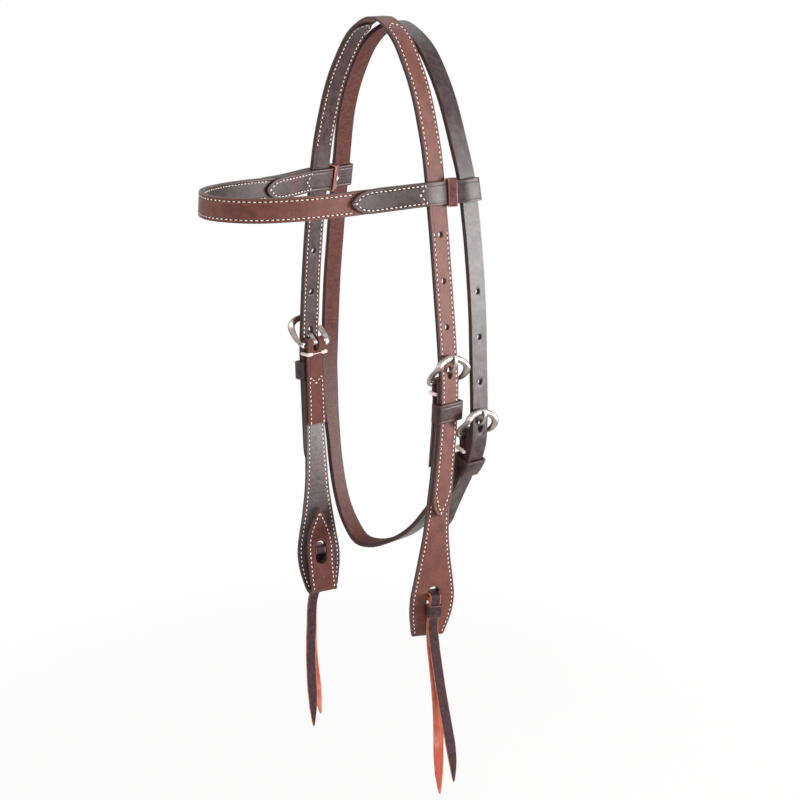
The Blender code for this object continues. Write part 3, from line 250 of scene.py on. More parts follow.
# Outlines, as shares of a taper's length and of the half width
tail_tip_shares = ((0.30, 0.95), (0.58, 0.78), (0.80, 0.52), (0.94, 0.26), (1.00, 0.08))
round_tip_shares = ((0.35, 0.93), (0.70, 0.66), (0.92, 0.32), (1.00, 0.10))
lace_tip_shares = ((0.45, 0.80), (0.80, 0.45), (1.00, 0.16))
# Along the flare from its start to the bit fold, and of the paddle's extra width
paddle_shares = (
    (0.00, 0.00), (0.34, 0.06), (0.50, 0.20), (0.63, 0.48), (0.735, 0.80),
    (0.820, 1.00), (0.900, 0.93), (1.00, 0.56),
)
# Along the flap from the bit fold to its tip, and of its half width
flap_shares = (
    (0.00, 0.97), (0.30, 0.98), (0.48, 1.00), (0.62, 0.93), (0.76, 0.70),
    (0.90, 0.34), (1.00, 0.03),
)
flap_rise_share = 1.8
# Along the tongue from its ring to its tip, and of its rise
tongue_shares = (
    (0.00, 0.0), (0.19, 0.32), (0.30, 0.60), (0.43, 0.82), (0.66, 0.965), (1.00, 1.0),
)


# Finishes

# Clouds of grain: turns per metre, detail and roughness
clouds = {
    "suede_broad": (24.0, 3.0, 0.55), "suede_blotch": (120.0, 5.0, 0.62),
    "nap": (1500.0, 4.0, 0.7), "broad": (30.0, 4.0, 0.6), "blotch": (170.0, 5.0, 0.65),
    "divider_blotch": (260.0, 4.0, 0.6), "lace_blotch": (420.0, 5.0, 0.65),
    "lace_broad": (46.0, 3.0, 0.55), "lace_nap": (2200.0, 3.0, 0.7),
    "thread_soil": (300.0, 3.0, 0.55), "hole_shade_cloud": (900.0, 3.0, 0.55),
    "dull": (210.0, 4.0, 0.6), "speck": (1700.0, 3.0, 0.7),
}
# Drawn-out grain: turns per metre three ways, detail, roughness and how wavy it is
strands = {
    "fibre": ((420.0, 1500.0, 900.0), 4.0, 0.6, 0.4),
    "crease": ((900.0, 260.0, 500.0), 5.0, 0.6, 1.2),
    "streak": ((140.0, 900.0, 700.0), 4.0, 0.6, 0.8),
    "stripe": ((760.0, 210.0, 60.0), 5.0, 0.65, 0.5),
    "lay": ((2400.0, 2400.0, 5200.0), 2.0, 0.5, 0.6),
    "brush": ((700.0, 4200.0, 900.0), 3.0, 0.7, 0.2),
}
pebble_turns = 1500.0
divider_pebble_turns = 1400.0

# How deep each relief is
depths = {
    "nap": 0.00022, "fibre": 0.00016, "suede_seam": 0.00016, "seam": 0.00014,
    "pebble": 0.00005, "crease": 0.00008, "divider_pebble": 0.00004, "lace_nap": 0.00010,
    "streak": 0.00014, "speck": 0.00008, "stripe": 0.00006, "lay": 0.00012,
    "hole_shade_grain": 0.00010, "brush": 0.00002, "dull": 0.00003,
}

# Distances in from a cut edge: the edge's own colour, rubbing, wear and the seam's band
edge_depth = 0.00055
divider_edge_depth = 0.0007
lace_edge_depth = 0.00050
throat_edge_depth = 0.0008
edge_core_share = 0.35
rub_span = (0.0006, 0.0020)
wear_span = (0.0004, 0.0030)
seam_span = (0.0003, 0.0011)

# Through a piece, where its one side's finish turns into the other's
divider_middle = (-0.0008, 0.0008)
lace_middle = (-0.0003, 0.0005)
throat_middle = (-0.0007, 0.0007)

# Heights where the far cheek is darkened with painted shade, its lining carries a painted grey
# highlight, and the throat's flesh is grey
far_fade = 0.03
far_shade_heights = (-0.24, -0.19)
lining_highlight_heights = (-0.430, -0.312)
lining_highlight_end = (-0.306, -0.300)
low_flesh = -0.340
high_flesh = -0.285
flesh_fade = 0.060


def give(tree, socket, value):
    """Join a socket to another one, or fill its value in."""
    if isinstance(value, bpy.types.NodeSocket):
        tree.links.new(value, socket)
    else:
        socket.default_value = value


def new_node(tree, kind, inputs=None, **settings):
    """A node with its settings made and its inputs given."""
    node = tree.nodes.new(kind)
    for name, value in settings.items():
        setattr(node, name, value)
    for key, value in (inputs or {}).items():
        give(tree, node.inputs[key], value)
    return node


class Looks:
    """One finish's material, with short names for the nodes that it is made of."""

    def __init__(self, name):
        self.material = bpy.data.materials.new(name)
        self.material.use_nodes = True
        self.tree = self.material.node_tree
        self.shader = self.tree.nodes["Principled BSDF"]
        self.place = self.new("TexCoord").outputs["Object"]
        self.flat = self.new("Attribute", attribute_name="flat").outputs["Vector"]
        self.through = self.axis("Z", self.flat)
        self.rim = self.new("Attribute", attribute_name="rim").outputs["Fac"]
        self.normal = None

    def new(self, kind, inputs=None, **settings):
        return new_node(self.tree, f"ShaderNode{kind}", inputs, **settings)

    def axis(self, letter, where=None):
        """One coordinate of a place, in metres."""
        return self.new("SeparateXYZ", {0: where or self.place}).outputs[letter]

    def noise(self, scale, detail, rough, where, change=0.0):
        sizes = {"Scale": scale, "Detail": detail, "Roughness": rough, "Distortion": change}
        return self.new("TexNoise", {**sizes, "Vector": where}).outputs["Fac"]

    def cloud(self, name):
        """Even cloudy grain from 0 to 1."""
        return self.noise(*clouds[name], self.place)

    def strand(self, name, where=None):
        """Grain from 0 to 1, drawn out along the strap or along another place."""
        stretch, detail, rough, change = strands[name]
        spread = self.new("Mapping", {"Scale": stretch, "Vector": where or self.flat})
        return self.noise(1.0, detail, rough, spread.outputs["Vector"], change)

    def pebbles(self, turns=pebble_turns):
        """The distance from each pebble's middle."""
        return self.new("TexVoronoi", {"Scale": turns, "Vector": self.place}).outputs["Distance"]

    def sums(self, operation, *values):
        return self.new("Math", dict(enumerate(values)), operation=operation).outputs[0]

    def times(self, one, other):
        return self.sums("MULTIPLY", one, other)

    def span(self, value, low, high, start=0.0, end=1.0):
        """A soft step, from start at low to end at high."""
        ends = {"From Min": low, "From Max": high, "To Min": start, "To Max": end}
        step = self.new("MapRange", {"Value": value, **ends}, interpolation_type="SMOOTHSTEP")
        return step.outputs["Result"]

    def blend(self, share, one, other):
        """Two colours mixed by a share."""
        mixed = self.new("Mix", {0: share}, data_type="RGBA")
        sockets = [socket for socket in mixed.inputs if socket.type == "RGBA"]
        for socket, colour in zip(sockets, (one, other)):
            give(self.tree, socket, (*colour, 1.0) if isinstance(colour, tuple) else colour)
        return next(socket for socket in mixed.outputs if socket.type == "RGBA")

    def mottle(self, grain, low, high, one, other):
        """One colour where the grain is under low, the other where it is over high."""
        return self.blend(self.span(grain, low, high), one, other)

    def bump(self, height, name):
        """A relief as deep as its name says, over any before it."""
        inputs = {"Strength": 1.0, "Distance": depths[name], "Height": height}
        if self.normal is not None:
            inputs["Normal"] = self.normal
        self.normal = self.new("Bump", inputs).outputs["Normal"]

    def finish(self, colour, roughness, **constants):
        give(self.tree, self.shader.inputs["Base Color"], colour)
        give(self.tree, self.shader.inputs["Roughness"], roughness)
        for name, value in constants.items():
            socket = name.replace("_", " ").title().replace("Ior", "IOR")
            self.shader.inputs[socket].default_value = value
        give(self.tree, self.shader.inputs["Normal"], self.normal)
        return self.material

    def seam(self):
        """1 along the row of stitches beside the edge, 0 elsewhere."""
        apart = self.sums("ABSOLUTE", self.sums("SUBTRACT", self.rim, stitch_inset))
        return self.span(apart, *seam_span, 1.0, 0.0)

    def cut_edge(self, depth=edge_depth):
        """1 on the cut edge, fading to 0 a little way in."""
        return self.span(self.rim, depth * edge_core_share, depth, 1.0, 0.0)

    def far_side(self, most=1.0):
        return self.span(self.axis("X"), -far_fade, 0.0, most, 0.0)


# Rough-out leather
suede_mottle = ((0.096, 0.026, 0.018), (0.160, 0.048, 0.033))
suede_broad = (0.140, 0.036, 0.024)
suede_shade = (0.082, 0.026, 0.018)
suede_fibre = (0.260, 0.098, 0.072)
suede_seam = (0.080, 0.026, 0.019)
suede_rubbed = (0.115, 0.038, 0.026)
suede_edge = (0.070, 0.034, 0.030)
# Painted shade: the colour that darkens the far side below the browband
suede_far_shade = (0.062, 0.022, 0.019)


def suede(name):
    """Rough-out leather: mottled nap, darker burnished edges, pressed seams, and painted shade
    on the far side below the browband.
    """
    look = Looks(name)
    nap = look.cloud("nap")
    fibre = look.strand("fibre")
    seam = look.seam()
    edge = look.cut_edge()
    colour = look.mottle(look.cloud("suede_blotch"), 0.36, 0.66, *suede_mottle)
    broad = look.span(look.cloud("suede_broad"), 0.40, 0.68, 0.0, 0.6)
    colour = look.blend(broad, colour, suede_broad)
    colour = look.blend(look.span(nap, 0.30, 0.55, 0.55, 0.0), colour, suede_shade)
    colour = look.blend(look.span(fibre, 0.56, 0.72, 0.0, 0.40), colour, suede_fibre)
    colour = look.blend(look.times(seam, 0.30), colour, suede_seam)
    rubbed = look.span(look.rim, *rub_span, 0.35, 0.0)
    colour = look.blend(rubbed, colour, suede_rubbed)
    colour = look.blend(edge, colour, suede_edge)
    look.bump(nap, "nap")
    look.bump(fibre, "fibre")
    look.bump(look.sums("SUBTRACT", 1.0, seam), "suede_seam")
    # Painted shade: the far side below the browband is darkened, and made rougher there
    far_shade = look.span(look.axis("Z"), *far_shade_heights, 1.0, 0.0)
    far_shade = look.times(look.far_side(), far_shade)
    colour = look.blend(look.times(far_shade, 0.35), colour, suede_far_shade)
    plain = look.span(edge, 0.0, 1.0, 0.54, 0.42)
    roughness = look.sums("ADD", plain, look.times(far_shade, 0.36))
    return look.finish(
        colour, roughness, sheen_weight=0.08, sheen_roughness=0.45, specular_ior_level=0.34,
    )


# Smooth dark leathers: deep, pale and worn colour, roughness, and a coat's weight
smooth_kinds = {
    "dark_leather": (
        (0.026, 0.010, 0.010), (0.060, 0.031, 0.030), (0.112, 0.038, 0.029), 0.36, 0.0,
    ),
    "glossy_dark_leather": (
        (0.022, 0.009, 0.010), (0.052, 0.026, 0.028), (0.110, 0.036, 0.028), 0.38, 0.04,
    ),
}
dark_edge = (0.048, 0.024, 0.022)
# Painted highlight: the grey of a sheen on the far cheek's lining
painted_lining_highlight = (0.185, 0.165, 0.170)


def smooth_leather(name):
    """Grain leather: fine pebbles and creases, worn patches, burnished edges, and a painted grey
    highlight on the far cheek's lining.
    """
    deep, pale, wear, roughness, gloss = smooth_kinds[name]
    look = Looks(name)
    blotch = look.cloud("blotch")
    crease = look.strand("crease")
    colour = look.mottle(blotch, 0.34, 0.70, deep, pale)
    colour = look.blend(look.span(look.cloud("broad"), 0.55, 0.74, 0.0, 0.45), colour, wear)
    near_edge = look.span(look.rim, *wear_span, 0.55, 0.0)
    colour = look.blend(look.times(near_edge, blotch), colour, wear)
    seam = look.seam()
    look.bump(look.sums("SUBTRACT", 1.0, seam), "seam")
    colour = look.blend(look.times(seam, 0.25), colour, deep)
    colour = look.blend(look.cut_edge(), colour, dark_edge)
    # Painted highlight: a grey sheen mixed into the far cheek lining's colour below the fold
    # leg, brighter along the creases
    height = look.axis("Z")
    painted_highlight = look.span(height, *lining_highlight_heights, 0.0, 0.85)
    painted_highlight = look.times(painted_highlight, look.span(height, *lining_highlight_end, 1.0, 0.0))
    painted_highlight = look.times(painted_highlight, look.span(crease, 0.34, 0.60, 0.45, 1.0))
    colour = look.blend(look.times(painted_highlight, look.far_side(0.9)), colour, painted_lining_highlight)
    look.bump(look.pebbles(), "pebble")
    look.bump(crease, "crease")
    rough = look.sums("ADD", look.span(blotch, 0.3, 0.7, -0.06, 0.08), roughness)
    return look.finish(
        colour, rough, coat_weight=gloss, coat_roughness=0.24, specular_ior_level=0.25,
    )


# Divider leather
divider_mottle = ((0.075, 0.014, 0.020), (0.170, 0.050, 0.060))
divider_raw = ((0.160, 0.024, 0.018), (0.470, 0.140, 0.058))


def divider_leather(name):
    """Burgundy leather whose cut edges show orange in front and dark red behind."""
    look = Looks(name)
    blotch = look.cloud("divider_blotch")
    colour = look.mottle(blotch, 0.35, 0.68, *divider_mottle)
    raw = look.blend(look.span(look.through, *divider_middle, 1.0, 0.0), *divider_raw)
    colour = look.blend(look.cut_edge(divider_edge_depth), colour, raw)
    look.bump(look.pebbles(divider_pebble_turns), "divider_pebble")
    return look.finish(colour, look.span(blotch, 0.3, 0.7, 0.28, 0.38), coat_weight=0.30)


# Lace leather, and which way its grain side faces on each piece
lace_sides = {"lace_grain_out": 1.0, "lace_grain_in": -1.0, "lace_wrap": 0.0}
lace_finishes = {"front": "lace_grain_out", "back": "lace_grain_in"}
lace_grain = ((0.026, 0.010, 0.013), (0.064, 0.030, 0.036))
lace_flesh = ((0.440, 0.088, 0.052), (0.610, 0.215, 0.165))
lace_flesh_streak = (0.330, 0.068, 0.044)
lace_raw = ((0.600, 0.240, 0.120), (0.340, 0.100, 0.060))
lace_wrap_raw = (0.210, 0.080, 0.072)


def lace_leather(name):
    """Latigo: dark waxy grain on one side, salmon flesh on the other."""
    look = Looks(name)
    blotch = look.cloud("lace_blotch")
    streak = look.strand("streak")
    grain = look.mottle(blotch, 0.35, 0.70, *lace_grain)
    if lace_sides[name]:
        broad = look.cloud("lace_broad")
        shade = look.mottle(broad, 0.36, 0.66, *lace_flesh)
        flesh = look.blend(look.span(streak, 0.42, 0.66, 0.0, 0.55), shade, lace_flesh_streak)
        side = look.times(look.through, lace_sides[name])
        is_grain = look.span(side, *lace_middle)
        colour = look.blend(is_grain, flesh, grain)
        roughness = look.span(is_grain, 0.0, 1.0, 0.85, 0.42)
        raw = look.mottle(streak, 0.40, 0.62, *lace_raw)
    else:
        colour = grain
        roughness = look.span(blotch, 0.3, 0.7, 0.36, 0.48)
        raw = lace_wrap_raw
    colour = look.blend(look.cut_edge(lace_edge_depth), colour, raw)
    look.bump(look.cloud("lace_nap"), "lace_nap")
    look.bump(streak, "streak")
    return look.finish(colour, roughness, specular_ior_level=0.25)


# Throat latch leather
throat_grain = ((0.024, 0.012, 0.013), (0.064, 0.040, 0.041))
throat_red = ((0.056, 0.016, 0.012), (0.112, 0.032, 0.024))
throat_blotch = (0.085, 0.058, 0.056)
throat_speck = (0.030, 0.011, 0.010)
throat_grey = ((0.056, 0.034, 0.033), (0.190, 0.140, 0.130))
throat_edge = (0.052, 0.024, 0.022)


def throat_leather(name):
    """Single thick leather: smooth dark grain outside, red striped flesh inside."""
    look = Looks(name)
    blotch = look.cloud("blotch")
    stripe = look.strand("stripe")
    speck = look.cloud("speck")
    grain = look.mottle(blotch, 0.34, 0.70, *throat_grain)
    red = look.mottle(stripe, 0.36, 0.66, *throat_red)
    flesh = look.blend(look.span(blotch, 0.50, 0.75, 0.0, 0.4), red, throat_blotch)
    flesh = look.blend(look.span(speck, 0.30, 0.46, 0.55, 0.0), flesh, throat_speck)
    grey = look.mottle(speck, 0.40, 0.62, *throat_grey)
    height = look.axis("Z")
    top = look.span(height, high_flesh, high_flesh + flesh_fade, 0.60, 0.0)
    low = look.span(height, low_flesh - flesh_fade, low_flesh)
    flesh = look.blend(look.times(top, low), flesh, grey)
    outside = look.span(look.through, *throat_middle)
    colour = look.blend(outside, flesh, grain)
    colour = look.blend(look.cut_edge(throat_edge_depth), colour, throat_edge)
    look.bump(look.pebbles(), "pebble")
    look.bump(speck, "speck")
    look.bump(stripe, "stripe")
    roughness = look.span(outside, 0.0, 1.0, 0.80, 0.34)
    return look.finish(colour, roughness, specular_ior_level=0.25)


# Thread, the painted shade of its holes, and nickel
thread_mottle = ((0.930, 0.800, 0.740), (0.720, 0.520, 0.440))
thread_furrow = (0.420, 0.260, 0.190)
# Painted shade: the dark colours of the disc in each awl hole
hole_painted_shade = ((0.022, 0.008, 0.008), (0.050, 0.020, 0.018))
nickel_mottle = ((0.400, 0.348, 0.318), (0.250, 0.210, 0.186))
nickel_scratch = (0.180, 0.150, 0.130)


def waxed_thread(name):
    """Pale twisted thread, mottled with soil, and darker in the furrows of its lay."""
    look = Looks(name)
    lay = look.strand("lay", look.place)
    colour = look.mottle(look.cloud("thread_soil"), 0.40, 0.74, *thread_mottle)
    colour = look.blend(look.span(lay, 0.25, 0.5, 0.35, 0.0), colour, thread_furrow)
    look.bump(lay, "lay")
    return look.finish(colour, 0.72, sheen_weight=0.1)


def pricked_hole(name):
    """Painted shade: a dark flat disc between two stitches, standing for the shade in the awl's
    hole.
    """
    look = Looks(name)
    hole_shade_grain = look.cloud("hole_shade_cloud")
    look.bump(hole_shade_grain, "hole_shade_grain")
    colour = look.mottle(hole_shade_grain, 0.35, 0.7, *hole_painted_shade)
    return look.finish(colour, 0.85, specular_ior_level=0.2)


def brushed_nickel(name):
    """Cast nickel with a soft brushed surface, fine scratches and dull patches."""
    look = Looks(name)
    dull = look.cloud("dull")
    brush = look.strand("brush", look.place)
    colour = look.mottle(dull, 0.38, 0.72, *nickel_mottle)
    colour = look.blend(look.span(brush, 0.60, 0.78, 0.0, 0.30), colour, nickel_scratch)
    look.bump(brush, "brush")
    look.bump(dull, "dull")
    return look.finish(colour, look.span(dull, 0.3, 0.7, 0.33, 0.45), metallic=1.0)


# Each finish's maker, slot, and the last word of its pieces' names
finishes = {
    "rough_out_leather": (suede, "rough_out_leather", "leather"),
    "dark_leather": (smooth_leather, "dark_leather", "leather"),
    "throat_leather": (throat_leather, "dark_leather", "leather"),
    "glossy_dark_leather": (smooth_leather, "glossy_dark_leather", "leather"),
    "burgundy_leather": (divider_leather, "burgundy_leather", "leather"),
    "lace_grain_out": (lace_leather, "latigo", "lace"),
    "lace_grain_in": (lace_leather, "latigo", "lace"),
    "lace_wrap": (lace_leather, "latigo", "lace"),
    "thread": (waxed_thread, "thread", "thread"),
    "pricked_hole": (pricked_hole, "thread", "thread"),
    "nickel": (brushed_nickel, "nickel", "metal"),
}
made_finishes = {}


def finish_material(finish):
    if finish not in made_finishes:
        made_finishes[finish] = finishes[finish][0](finish)
    return made_finishes[finish]


# What each CAD node rides on

node_bodies = {
    node: body for body, nodes in frame["record"]["behaviour"]["bodies"].items()
    for node in nodes
}
parts = bpy.data.collections.new("western headstall, dressed")
bpy.context.scene.collection.children.link(parts)
sides = (("near", False), ("far", True))


def new_object(name, data, collection=parts):
    thing = bpy.data.objects.new(name, data)
    collection.objects.link(thing)
    return thing


def evaluated_mesh(holder):
    """The plain mesh of an object's evaluated state; the object is removed."""
    bpy.context.view_layer.update()
    evaluated = holder.evaluated_get(bpy.context.evaluated_depsgraph_get())
    mesh = bpy.data.meshes.new_from_object(evaluated)
    bpy.data.objects.remove(holder, do_unlink=True)
    return mesh


# Curves in space

curve_samples = 40


def smooth_line(points, samples=curve_samples):
    """A smooth curve through the points, as close samples and the length at each."""
    points = np.array(points, float)
    spans = np.linalg.norm(np.diff(points, axis=0), axis=1)
    rates = np.diff(points, axis=0) / spans[:, None]
    slopes = np.empty_like(points)
    slopes[0] = rates[0]
    slopes[-1] = rates[-1]
    before, after = spans[:-1, None], spans[1:, None]
    slopes[1:-1] = (rates[:-1] * after + rates[1:] * before) / (before + after)
    line = [points[0]]
    for k, span in enumerate(spans):
        for step in range(1, samples + 1):
            f = step / samples
            line.append(
                (2 * f**3 - 3 * f**2 + 1) * points[k]
                + (f**3 - 2 * f**2 + f) * span * slopes[k]
                + (3 * f**2 - 2 * f**3) * points[k + 1]
                + (f**3 - f**2) * span * slopes[k + 1]
            )
    line = np.array(line)
    steps = np.linalg.norm(np.diff(line, axis=0), axis=1)
    return line, np.concatenate(([0.0], np.cumsum(steps)))


def unit(vector):
    vector = np.asarray(vector, float)
    return vector / np.linalg.norm(vector)


def ease(share):
    """A soft step from 0 to 1."""
    share = min(max(share, 0.0), 1.0)
    return share * share * (3 - 2 * share)


def ease_rate(share):
    """How steep that step is."""
    return 6 * share * (1 - share) if 0 < share < 1 else 0.0


class Route:
    """Stations along a strap's path, with straight runs between them."""

    def __init__(self, along, points, outward, across):
        self.along = np.array(along, float)
        self.points = np.array(points, float)
        self.outward = np.array(outward, float)
        self.across = np.array(across, float)

    def station(self, u):
        """The run that u lies in, and how far through it as a share."""
        k = int(np.clip(np.searchsorted(self.along, u) - 1, 0, len(self.along) - 2))
        return k, (u - self.along[k]) / (self.along[k + 1] - self.along[k])

    def place(self, u, w, t):
        """The point at u along, w across and t outward of the route."""
        k, f = self.station(u)
        start = self.points[k] + w * self.across[k] + t * self.outward[k]
        end = self.points[k + 1] + w * self.across[k + 1] + t * self.outward[k + 1]
        return (1 - f) * start + f * end

    def axes(self, u):
        """Along, outward and across at u, each of unit length."""
        k, f = self.station(u)
        outward = unit((1 - f) * self.outward[k] + f * self.outward[k + 1])
        across = unit((1 - f) * self.across[k] + f * self.across[k + 1])
        return unit(np.cross(across, outward)) * self.sense(k), outward, across

    def sense(self, k):
        forward = self.points[k + 1] - self.points[k]
        side = np.cross(self.across[k], self.outward[k])
        return 1.0 if np.dot(forward, side) > 0 else -1.0

    def between(self, low, high):
        """The stations strictly between two lengths."""
        inside = (self.along > low + cut_merge) & (self.along < high - cut_merge)
        return [float(u) for u in self.along[inside]]


def route_through(points, marks, start, across_at):
    """A route on the smooth curve through the points, with stations at the marks.

    start is the mark at the curve's first point; across_at gives the width's way.
    """
    line, lengths = smooth_line(points)
    lengths = lengths + start
    slopes = np.gradient(line, lengths, axis=0)
    along, centres, outward, across = [], [], [], []
    for mark in marks:
        centre = np.array([np.interp(mark, lengths, line[:, i]) for i in range(3)])
        tangent = unit([np.interp(mark, lengths, slopes[:, i]) for i in range(3)])
        wide = np.asarray(across_at(mark), float)
        wide = unit(wide - tangent * np.dot(wide, tangent))
        along.append(mark)
        centres.append(centre)
        outward.append(np.cross(tangent, wide))
        across.append(wide)
    return Route(along, centres, outward, across)


def growing_marks(first, reach, longest):
    """Marks from a first one outward, whose steps grow to the longest."""
    marks = [first]
    step = bend_step
    while marks[-1] + step < reach:
        marks.append(marks[-1] + step)
        step = min(step * step_growth, longest)
    return marks + [reach]


# Leather cut in the flat, with round edges, then bent along a route

lane_step = 0.0022
fewest_lanes = 4
edge_round = 0.00042
edge_share = 0.38
rim_rounds = 2
flat_angle = math.radians(1)
sharp_leather = math.radians(52)
sharp_rods = math.radians(38)
# A piece of thread or metal has no cut edge, so its depth counts as this
edgeless = 1.0
# The most flat places measured at once, and a side too short to measure along
rim_batch = 2000
least_side_squared = 1e-18


def curve_mesh(name, curve):
    """The mesh of a curve's evaluated object, its caps welded on."""
    mesh = evaluated_mesh(new_object(name, curve))
    bm = bmesh.new()
    bm.from_mesh(mesh)
    bmesh.ops.remove_doubles(bm, verts=bm.verts, dist=cut_merge)
    return mesh, bm


def flat_solid(name, rings, thickness):
    """A flat outline, with holes after the first ring, and a rounded rim."""
    rim = min(edge_round, thickness * edge_share)
    curve = bpy.data.curves.new(name, "CURVE")
    curve.dimensions = "2D"
    curve.fill_mode = "BOTH"
    curve.extrude = thickness / 2 - rim
    curve.bevel_depth = rim
    curve.bevel_resolution = rim_rounds
    curve.offset = -rim
    for ring in rings:
        spline = curve.splines.new("POLY")
        spline.points.add(len(ring) - 1)
        for point, (u, w) in zip(spline.points, ring):
            point.co = (u, w, 0.0, 1.0)
        spline.use_cyclic_u = True
    return curve_mesh(name, curve)


def cut_across(bm, axis, marks):
    """Cut the flat solid square across one of its own axes, at each mark."""
    way = [0.0, 0.0, 0.0]
    way[axis] = 1.0
    for mark in marks:
        point = [mark * part for part in way]
        every = bm.verts[:] + bm.edges[:] + bm.faces[:]
        bmesh.ops.bisect_plane(bm, geom=every, dist=cut_merge, plane_co=point, plane_no=way)


def rim_distance(places, ring):
    """How far each flat place is from the ring's nearest side."""
    ring = np.array(ring, float)
    sides = np.roll(ring, -1, axis=0) - ring
    sizes = np.maximum((sides**2).sum(axis=1), least_side_squared)
    nearest = np.empty(len(places))
    for first in range(0, len(places), rim_batch):
        part = places[first:first + rim_batch, None, :] - ring[None, :, :]
        share = np.clip((part * sides).sum(axis=2) / sizes, 0.0, 1.0)
        apart = part - share[:, :, None] * sides
        nearest[first:first + rim_batch] = np.sqrt((apart**2).sum(axis=2)).min(axis=1)
    return nearest


def remember_flat(bm, apart):
    """Keep each vertex's flat place, and its distance from the cut edge."""
    flat = bm.verts.layers.float_vector.new("flat")
    rim = bm.verts.layers.float.new("rim")
    for vertex, distance in zip(bm.verts, apart):
        vertex[flat] = vertex.co
        vertex[rim] = float(distance)


def depth_in(bm, height):
    """How far each vertex is from the ends of a piece of that height."""
    return [height / 2 - abs(vertex.co.z) for vertex in bm.verts]


def store(mesh, bm, mirrored):
    """Write the solid to its mesh, on its own side and with its faces out."""
    if mirrored:
        for vertex in bm.verts:
            vertex.co.x = -vertex.co.x
    if bm.calc_volume(signed=True) < 0:
        bmesh.ops.reverse_faces(bm, faces=bm.faces)
    bm.to_mesh(mesh)
    bm.free()


def dress(node, mesh, finish, shading=sharp_leather):
    """A finished piece that stands for a CAD node and rides on its body."""
    slot_name, form = finishes[finish][1:]
    piece = new_object(f"{node}_{form}", mesh)
    mesh.materials.clear()
    mesh.materials.append(finish_material(finish))
    mesh.shade_smooth()
    mesh.set_sharp_from_angle(angle=shading)
    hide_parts(node)
    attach(piece, node_bodies[node])
    return piece


def strap(name, rings, route, low, high, finish, mirrored=False):
    """A leather piece cut flat from its rings, then bent along its route.

    It fills the route's space from low to high outward.
    """
    mesh, bm = flat_solid(name, rings, high - low)
    ends = [u for u, w in rings[0]]
    widest = max(w for u, w in rings[0])
    bmesh.ops.dissolve_limit(bm, angle_limit=flat_angle, verts=bm.verts, edges=bm.edges)
    lanes = int(widest / lane_step)
    cut_across(bm, 1, [lane_step * k for k in range(-lanes, lanes + 1)])
    cut_across(bm, 0, route.between(min(ends), max(ends)))
    wide_faces = [face for face in bm.faces if len(face.verts) > 4]
    bmesh.ops.triangulate(bm, faces=wide_faces)
    places = np.array([vertex.co[:2] for vertex in bm.verts])
    remember_flat(bm, rim_distance(places, rings[0]))
    middle = (low + high) / 2
    for vertex in bm.verts:
        u, w, t = vertex.co
        vertex.co = Vector(route.place(u, w, t + middle))
    store(mesh, bm, mirrored)
    return dress(name, mesh, finish)


def placed_solid(name, mesh, bm, place, depth, finish, mirrored=False):
    """A solid whose own coordinates a function turns into places."""
    remember_flat(bm, depth_in(bm, depth))
    for vertex in bm.verts:
        vertex.co = Vector(place(*vertex.co))
    store(mesh, bm, mirrored)
    return dress(name, mesh, finish)


def ring_solid(name, rings, place, height, finish, mirrored=False):
    """A closed band: two outlines in (n, w), as tall as its height along."""
    mesh, bm = flat_solid(name, rings, height)
    steps = max(fewest_lanes, int(height / lane_step))
    cut_across(bm, 2, [height * (k / steps - 0.5) for k in range(1, steps)])
    return placed_solid(name, mesh, bm, place, height, finish, mirrored)


def loft(bm, sections, closed):
    """Skin a run of rings that have the same number of points."""
    rows = [[bm.verts.new(point) for point in ring] for ring in sections]
    pairs = list(zip(rows, rows[1:]))
    if closed:
        pairs.append((rows[-1], rows[0]))
    count = len(rows[0])
    for row, after in pairs:
        for k in range(count):
            other = (k + 1) % count
            bm.faces.new((row[k], row[other], after[other], after[k]))
    if not closed:
        bm.faces.new(rows[0][::-1])
        bm.faces.new(rows[-1])


def lofted(name, runs, finish, mirrored=False):
    """Closed skins in one piece, each a list of rings and whether it joins up."""
    mesh = bpy.data.meshes.new(name)
    bm = bmesh.new()
    for sections, closed in runs:
        loft(bm, sections, closed)
    bmesh.ops.recalc_face_normals(bm, faces=bm.faces)
    remember_flat(bm, depth_in(bm, edgeless))
    store(mesh, bm, mirrored)
    return dress(name, mesh, finish, sharp_rods)


# Outlines in the flat

def both_edges(edge):
    """An outline from one of its edges."""
    return edge + [(u, -w) for u, w in edge[::-1]]


def taper(end, way, half_width, tip):
    """One edge of a strip's end: square, or with a tip of that length and shares."""
    if not tip:
        return [(end, half_width)]
    length, shares = tip
    base = end - way * length
    edge = [(base + way * length * along, half_width * wide) for along, wide in shares]
    return [(base, half_width)] + edge


def band_outline(low, high, half_width, low_tip=None, high_tip=None):
    """A strip from low to high, square or tapered at each end."""
    upper = taper(low, -1, half_width, low_tip)[::-1] + taper(high, 1, half_width, high_tip)
    return both_edges(upper)


def oval(u, length, width):
    """A round or long hole on the middle line."""
    turns = [2 * math.pi * (k + 0.5) / hole_sides for k in range(hole_sides)]
    return [(u + length / 2 * math.cos(a), width / 2 * math.sin(a)) for a in turns]


def punched_hole(u, number):
    """A hole of a row; the last one is in use and worn long."""
    if number == hole_count - 1:
        return oval(u, worn_hole_height, worn_hole_width)
    return oval(u, punch_diameter, punch_diameter)


def slot_between(low, high):
    """A tongue's long hole with round ends."""
    middle, reach = (low + high) / 2, (high - low - slot_width) / 2
    ring = []
    for side in (1, -1):
        for k in range(slot_turns + 1):
            a = math.pi * (k / slot_turns - 0.5)
            u = middle + side * (reach + slot_width / 2 * math.cos(a))
            ring.append((u, side * slot_width / 2 * math.sin(a)))
    return ring


